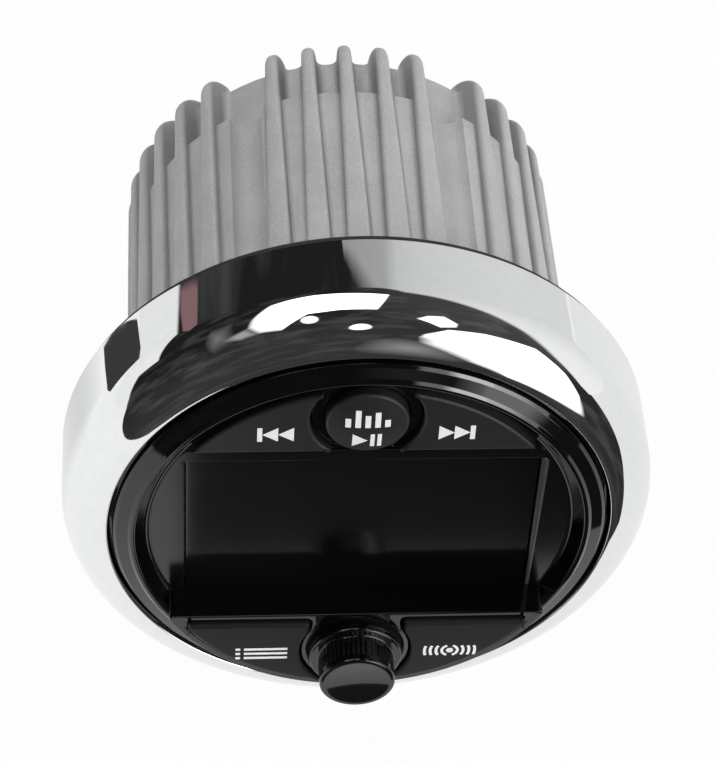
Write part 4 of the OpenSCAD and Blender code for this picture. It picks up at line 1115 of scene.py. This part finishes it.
# %% Ring array tree
def ring_array_tree():
    """Geometry Nodes: copies of the input turned about Y, with places left out beside an angle."""
    tree = bpy.data.node_groups.new("ring_array", "GeometryNodeTree")
    inputs = {"Geometry": "Geometry", "Count": "Int", "Phase": "Float", "Swing": "Float",
              "Gap Angle": "Float", "Gap Half Width": "Float", "Finish": "Material"}
    for label, kind in inputs.items():
        tree.interface.new_socket(label, in_out="INPUT", socket_type="NodeSocket" + kind)
    tree.interface.new_socket("Geometry", in_out="OUTPUT", socket_type="NodeSocketGeometry")
    start = Shade(tree)
    sockets = start.node("NodeGroupInput").socket.node.outputs
    given = {label: Shade(tree, sockets[label]) for label in inputs}
    index = start.node("GeometryNodeInputIndex")
    odd = index.math("MODULO", index, 2)
    angle = (index + given["Phase"]) / given["Count"] * math.tau + given["Swing"] * (1 - odd * 2)
    off = angle.math("PINGPONG", angle, math.pi / 2) - given["Gap Angle"]
    clear = off.math("GREATER_THAN", off.math("ABSOLUTE", off), given["Gap Half Width"])
    points = start.node("GeometryNodePoints", {"Count": given["Count"]})
    copies = start.node("GeometryNodeInstanceOnPoints", {
        "Points": points, "Selection": clear, "Instance": given["Geometry"],
        "Rotation": start.node("CombineXYZ", {"Y": angle})})
    real = start.node("GeometryNodeRealizeInstances", {0: copies})
    finish = start.node("GeometryNodeSetMaterial", {"Geometry": real, "Material": given["Finish"]})
    start.node("NodeGroupOutput", {0: finish})
    return tree


ring_array = ring_array_tree()


def ring_copies(piece, material, count, phase=0.0, swing=0.0, gap_angle=-10.0, gap_half=0.0):
    """Replaces a piece by its copies round the Y axis."""
    modifier = piece.modifiers.new("ring_array", "NODES")
    modifier.node_group = ring_array
    values = {"Count": count, "Phase": phase, "Swing": swing, "Gap Angle": gap_angle,
              "Gap Half Width": gap_half, "Finish": material}
    for item in ring_array.interface.items_tree:
        if item.in_out == "INPUT" and item.name in values:
            modifier[item.identifier] = values[item.name]
    return applied(piece)


print("ring array inputs:", [i.name for i in ring_array.interface.items_tree if i.in_out == "INPUT"])

# %% [markdown]
# ## The knob
#
# The knob is gloss black, with a faintly hollow end, a rounded edge and fine ridges for the fingers. The
# barrel is turned and the ridges are copies of one thin rod let into it.

# %% Knob
knob_r = 7.15
ridge_r = 0.34
ridge_count = 48
barrel_r = knob_r - 0.08
knob_edge = 0.5
knob_hollow = 0.5
hollow_r = knob_r - 0.95
knob_front_y, knob_back_y = knob_low.y, knob_high.y
knob_cap_y = knob_front_y + 1.5
ridge_front_y = knob_front_y + 1.3
flange_r = knob_high.x
flange_front_y = knob_back_y - 1.6
ridge_back_y = flange_front_y + 0.3
hollow_bend = (hollow_r ** 2 + knob_hollow ** 2) / (2 * knob_hollow)
knob_end = [(r, knob_front_y + knob_hollow - (hollow_bend - math.sqrt(hollow_bend ** 2 - r ** 2)), 0)
            for r in [hollow_r * i / 12 for i in range(13)]]
knob_profile = filleted(knob_end + [
    (knob_r, knob_front_y, knob_edge), (knob_r, knob_cap_y, 0.1), (barrel_r, knob_cap_y + 0.2, 0.1),
    (barrel_r, flange_front_y, 0.4), (flange_r, flange_front_y, 0.5), (flange_r, knob_back_y, 0.3),
    (0, knob_back_y, 0)], steps=8)
put("knob_barrel", turned(knob_profile, 160, (0, knob_z)), gloss_black, "knob", "gloss_face", "volume_knob",
    even=True)
ridge_profile = filleted([(0, ridge_front_y, 0), (ridge_r, ridge_front_y, 0.25),
                          (ridge_r, ridge_back_y, 0), (0, ridge_back_y, 0)], steps=3)
ridges = make_piece("knob_ridges", turned(ridge_profile, 10, (0, knob_r - ridge_r)), gloss_black)
ring_copies(ridges, gloss_black, ridge_count)
ridges.data.transform(Matrix.Translation((0, 0, knob_z * MM)))
wear(ridges, "knob", "gloss_face")

# %% [markdown]
# ## The casting
#
# Behind the dash is a cast aluminium body that is also the heat sink. Its core is a cup: a smooth collar
# that fits the dash hole, a panel zone, then a step down to open valleys between the fins. Four deep
# channels let a screwdriver reach the case screws. The core's section only changes at the step, so it is a
# stack of rings with the same points round them. The ribs taper towards the rear, so one rib is modelled
# with its draft and rounded edges, and the ring array repeats it.

# %% Sections of the casting
SAME_SIDE = 0.6


def cut_radius(angle, limit, centre_r, centre_angle, radius):
    """How far out material reaches at an angle beside a round cut along the axis."""
    turn = math.radians((angle - centre_angle + 180) % 360 - 180)
    across = centre_r * math.sin(turn)
    if abs(turn) > SAME_SIDE or abs(across) >= radius:
        return limit
    return min(limit, centre_r * math.cos(turn) - math.sqrt(radius ** 2 - across ** 2))


def panel(angle):
    """Outer radius of the core at an angle in the panel zone."""
    reach = panel_r
    for place in channel_places:
        reach = cut_radius(angle, reach, channel_at, place, channel_r)
    return reach


def valley(angle):
    """Outer radius of the core at an angle in the valley zone: a floor with a fillet beside each rib."""
    turn = min(abs((angle - a + 180) % 360 - 180) for a in rib_angles)
    off = valley_r * math.sin(math.radians(min(turn, 90))) - rib_rear_t / 2
    if off >= valley_fillet:
        return valley_r
    rest = valley_fillet - max(off, 0.0)
    return valley_r + valley_fillet - math.sqrt(valley_fillet ** 2 - rest ** 2)


stations = {round((i + share) * pitch, 5) for i in range(rib_places) for share in (0, 0.35, 0.5, 0.65)}
for a in rib_angles:
    for t in quarter(8):
        off = rib_rear_t / 2 + valley_fillet * (1 - math.cos(t))
        turn = angle_on(valley_r, off)
        stations |= {round((a + turn) % 360, 5), round((a - turn) % 360, 5)}
for place in channel_places:
    for k in range(-14, 15):
        turn = angle_on(channel_at, math.sin(k * math.pi / 28) * channel_r)
        stations.add(round((place + turn) % 360, 5))
stations = sorted(stations)
print("casting:", len(stations), "points round each ring")

# %% Casting core
EDGE = 0.25
PANEL_ROWS, VALLEY_ROWS = 10, 4
core = bmesh.new()


def core_ring(y, radius):
    """A ring of vertices at y; radius is a number, 0 for a pole, or gives the radius at an angle."""
    if radius == 0:
        return [core.verts.new((0, y, 0))]
    ring = []
    for a in stations:
        r = radius(a) if callable(radius) else radius
        ring.append(core.verts.new((r * math.sin(math.radians(a)), y, r * math.cos(math.radians(a)))))
    return ring


def stepped(drop):
    """The panel's radius less the drop at the step's edge, where the valley leaves room for it."""
    return lambda a: panel(a) - min(drop, panel(a) - valley(a))


panel_len = step_y - EDGE - collar_len
valley_len = rear_face_y - EDGE - step_y
core_rows = [(ring_back_y, cast_in_r), (ring_back_y, shoulder_r), (0.0, shoulder_r), (0.0, collar_r - EDGE),
             (EDGE, collar_r), (collar_len - EDGE, collar_r), (collar_len, collar_r - EDGE)]
core_rows += [(collar_len + panel_len * i / PANEL_ROWS, panel) for i in range(PANEL_ROWS + 1)]
core_rows += [(step_y - 0.3 * EDGE, stepped(0.3 * EDGE)), (step_y, stepped(EDGE))]
core_rows += [(step_y + valley_len * i / VALLEY_ROWS, valley) for i in range(VALLEY_ROWS + 1)]
core_rows += [(rear_face_y, lambda a: valley(a) - EDGE)]
core_rows += [(rear_face_y, radius) for radius in (cast_in_r, 30.0, 10.0, 0)]
core_rows += [(rear_inside_y, radius) for radius in (0, 30.0, cast_in_r)]
core_rings = [core_ring(y, radius) for y, radius in core_rows]
skin(core, core_rings[:-3], closed=False)
skin(core, core_rings[-3:] + core_rings[:1], closed=False)
heat_sink_core = make_piece("heat_sink_core", core, cast_alloy)


# %% Holes in the rear wall
def cutter(name, place, radius, y_from):
    """A round bar to cut with, through the rear face, which is removed afterwards."""
    y_to = rear_face_y + 3
    profile = [(0, y_from), (radius, y_from), (radius, y_to), (0, y_to)]
    return make_piece(name, turned(profile, 48, place), cast_alloy)


def cut_away(piece, cutters):
    """Cuts round bars out of a piece and removes them."""
    for tool in cutters:
        cut = piece.modifiers.new(tool.name, "BOOLEAN")
        cut.operation = "DIFFERENCE"
        cut.solver = "EXACT"
        cut.object = tool
    applied(piece)
    for tool in cutters:
        bpy.data.meshes.remove(tool.data)


gland_low, gland_high = span("cable_gland")
antenna_low, antenna_high = span("antenna_socket")
gland_z = (gland_low.z + gland_high.z) / 2
antenna_z = (antenna_low.z + antenna_high.z) / 2
bracket_x, bracket_r = 24.0, 2.1
gland_neck_r = 8.0
antenna_hole_r = 6.6
through_y, blind_y = rear_inside_y - 3, rear_face_y - 4
rear_cutters = [cutter("gland_hole", (0, gland_z), gland_neck_r, through_y),
                cutter("antenna_hole", (0, antenna_z), antenna_hole_r, through_y),
                cutter("bracket_left", (-bracket_x, 0), bracket_r, blind_y),
                cutter("bracket_right", (bracket_x, 0), bracket_r, blind_y)]
cut_away(heat_sink_core, rear_cutters)
wear(heat_sink_core, "chassis", "cast_alloy", "heat_sink_housing")

# %% Ribs
rib_draft = 0.3
rib_corner = 6.5
rib_foot = cast_in_r + 1.0
edge_front, edge_rear = 0.65, 1.1
RIB_ROWS, CORNER_ROWS = 14, 10


def rib_share(y):
    """How far along the rib y is, from 0 at the collar to 1 at the rear."""
    return (y - collar_len) / (body_len - collar_len)


def rib_top(y):
    """Outer radius of a rib at y, before its rear corner."""
    return collar_r - rib_draft * rib_share(y)


corner_y, corner_top = body_len - rib_corner, rib_top(body_len)
crest_line = [(collar_len - 1.0, collar_r - 0.02)]
crest_line += [(y, rib_top(y)) for y in [collar_len + (corner_y - collar_len) * i / RIB_ROWS
                                         for i in range(RIB_ROWS + 1)]]
crest_line += [(corner_y + rib_corner * math.sin(t), corner_top - rib_corner * (1 - math.cos(t)))
               for t in quarter(CORNER_ROWS)[1:]]
rib_sections = []
for index, (y, r) in enumerate(crest_line):
    ahead = crest_line[min(index + 1, len(crest_line) - 1)]
    behind = crest_line[max(index - 1, 0)]
    along = Vector((ahead[0] - behind[0], ahead[1] - behind[1])).normalized()
    outward = Vector((-along.y, along.x))
    half = (rib_front_t + (rib_rear_t - rib_front_t) * rib_share(y)) / 2
    edge = edge_front + (edge_rear - edge_front) * rib_share(y)
    turns = quarter(4)
    section = []
    for side, side_turns in ((1, turns), (-1, turns[::-1])):
        for t in side_turns:
            drop = edge * (1 - math.sin(t))
            x = side * (half - edge * (1 - math.cos(t)))
            section.append((x, y - outward.x * drop, r - outward.y * drop))
    foot_y = min(y, body_len - edge_rear)
    rib_sections.append([(section[0][0], foot_y, rib_foot)] + section + [(section[-1][0], foot_y, rib_foot)])
heat_sink_ribs = make_piece("heat_sink_ribs", loft(rib_sections), cast_alloy)
ring_copies(heat_sink_ribs, cast_alloy, rib_places, gap_angle=math.radians(rib_gap),
            gap_half=math.radians(pitch / 2))
wear(heat_sink_ribs, "chassis", "cast_alloy", "heat_sink_housing")

# %% [markdown]
# ## Rear fittings
#
# Seen from behind, the casting carries a rubber cable gland, a nickel antenna socket and four case screws in
# the channels, and a flat rubber gasket lies under the ring.

# %% Gland, socket and gasket
gland_bore_r, gland_r = 5.0, 10.0
gland_profile = filleted([
    (gland_bore_r, gland_low.y, 0.3), (gland_r, gland_low.y, 0.3), (gland_r, rear_inside_y, 0),
    (gland_neck_r, rear_inside_y, 0), (gland_neck_r, rear_face_y, 0), (gland_r, rear_face_y, 0.2),
    (gland_r, gland_high.y, 0.8), (gland_bore_r, gland_high.y, 0.6)])
put("gland_grommet", turned(gland_profile, 64, (0, gland_z)), finishes["seal_rubber"],
    "chassis", "seal_rubber", "cable_gland")
socket_bore_r, socket_r, collar_out_r = 4.6, 6.5, 8.0
socket_collar_y = rear_face_y + 1.5
socket_floor_y = antenna_high.y - 12
socket_profile = filleted([
    (0, antenna_low.y, 0), (socket_r, antenna_low.y, 0.3), (socket_r, rear_face_y, 0),
    (collar_out_r, rear_face_y, 0.1), (collar_out_r, socket_collar_y, 0.3), (socket_r, socket_collar_y, 0.2),
    (socket_r, antenna_high.y, 0.4), (socket_bore_r, antenna_high.y, 0.3),
    (socket_bore_r, socket_floor_y, 0.2), (0, socket_floor_y, 0)])
put("antenna_shell", turned(socket_profile, 64, (0, antenna_z)), finishes["steel"],
    "chassis", node_slots["antenna_socket"], "antenna_socket")
gasket_low, gasket_high = span("dash_gasket")
gasket_in, gasket_out = 42.85, gasket_high.x
gasket_profile = filleted([(gasket_in, gasket_low.y, 0.2), (gasket_out, gasket_low.y, 0.3),
                           (gasket_out, gasket_high.y, 0.5), (gasket_in, gasket_high.y, 0.4)])
put("gasket_ring", turned(gasket_profile, 192), finishes["seal_rubber"],
    "chassis", "seal_rubber", "dash_gasket")

# %% Case screws
screw_at = 40.0
screw_low, screw_high = span("case_screws")
shank_r, head_r = 1.5, 2.1
recess_r, recess_floor_r = 0.9, 0.5
recess_y = screw_high.y - 0.7
head_profile = filleted([
    (0, screw_low.y, 0), (shank_r, screw_low.y, 0.3), (shank_r, collar_len, 0), (head_r, collar_len, 0),
    (head_r, screw_high.y, 0.6), (recess_r, screw_high.y, 0.1), (recess_floor_r, recess_y, 0.1),
    (0, recess_y, 0)])
screws = make_piece("case_screw_heads", turned(head_profile, 24, (0, screw_at)), finishes["steel"])
ring_copies(screws, finishes["steel"], 4, phase=0.5, swing=math.radians(channel_angle - 45))
wear(screws, "chassis", "steel", "case_screws")
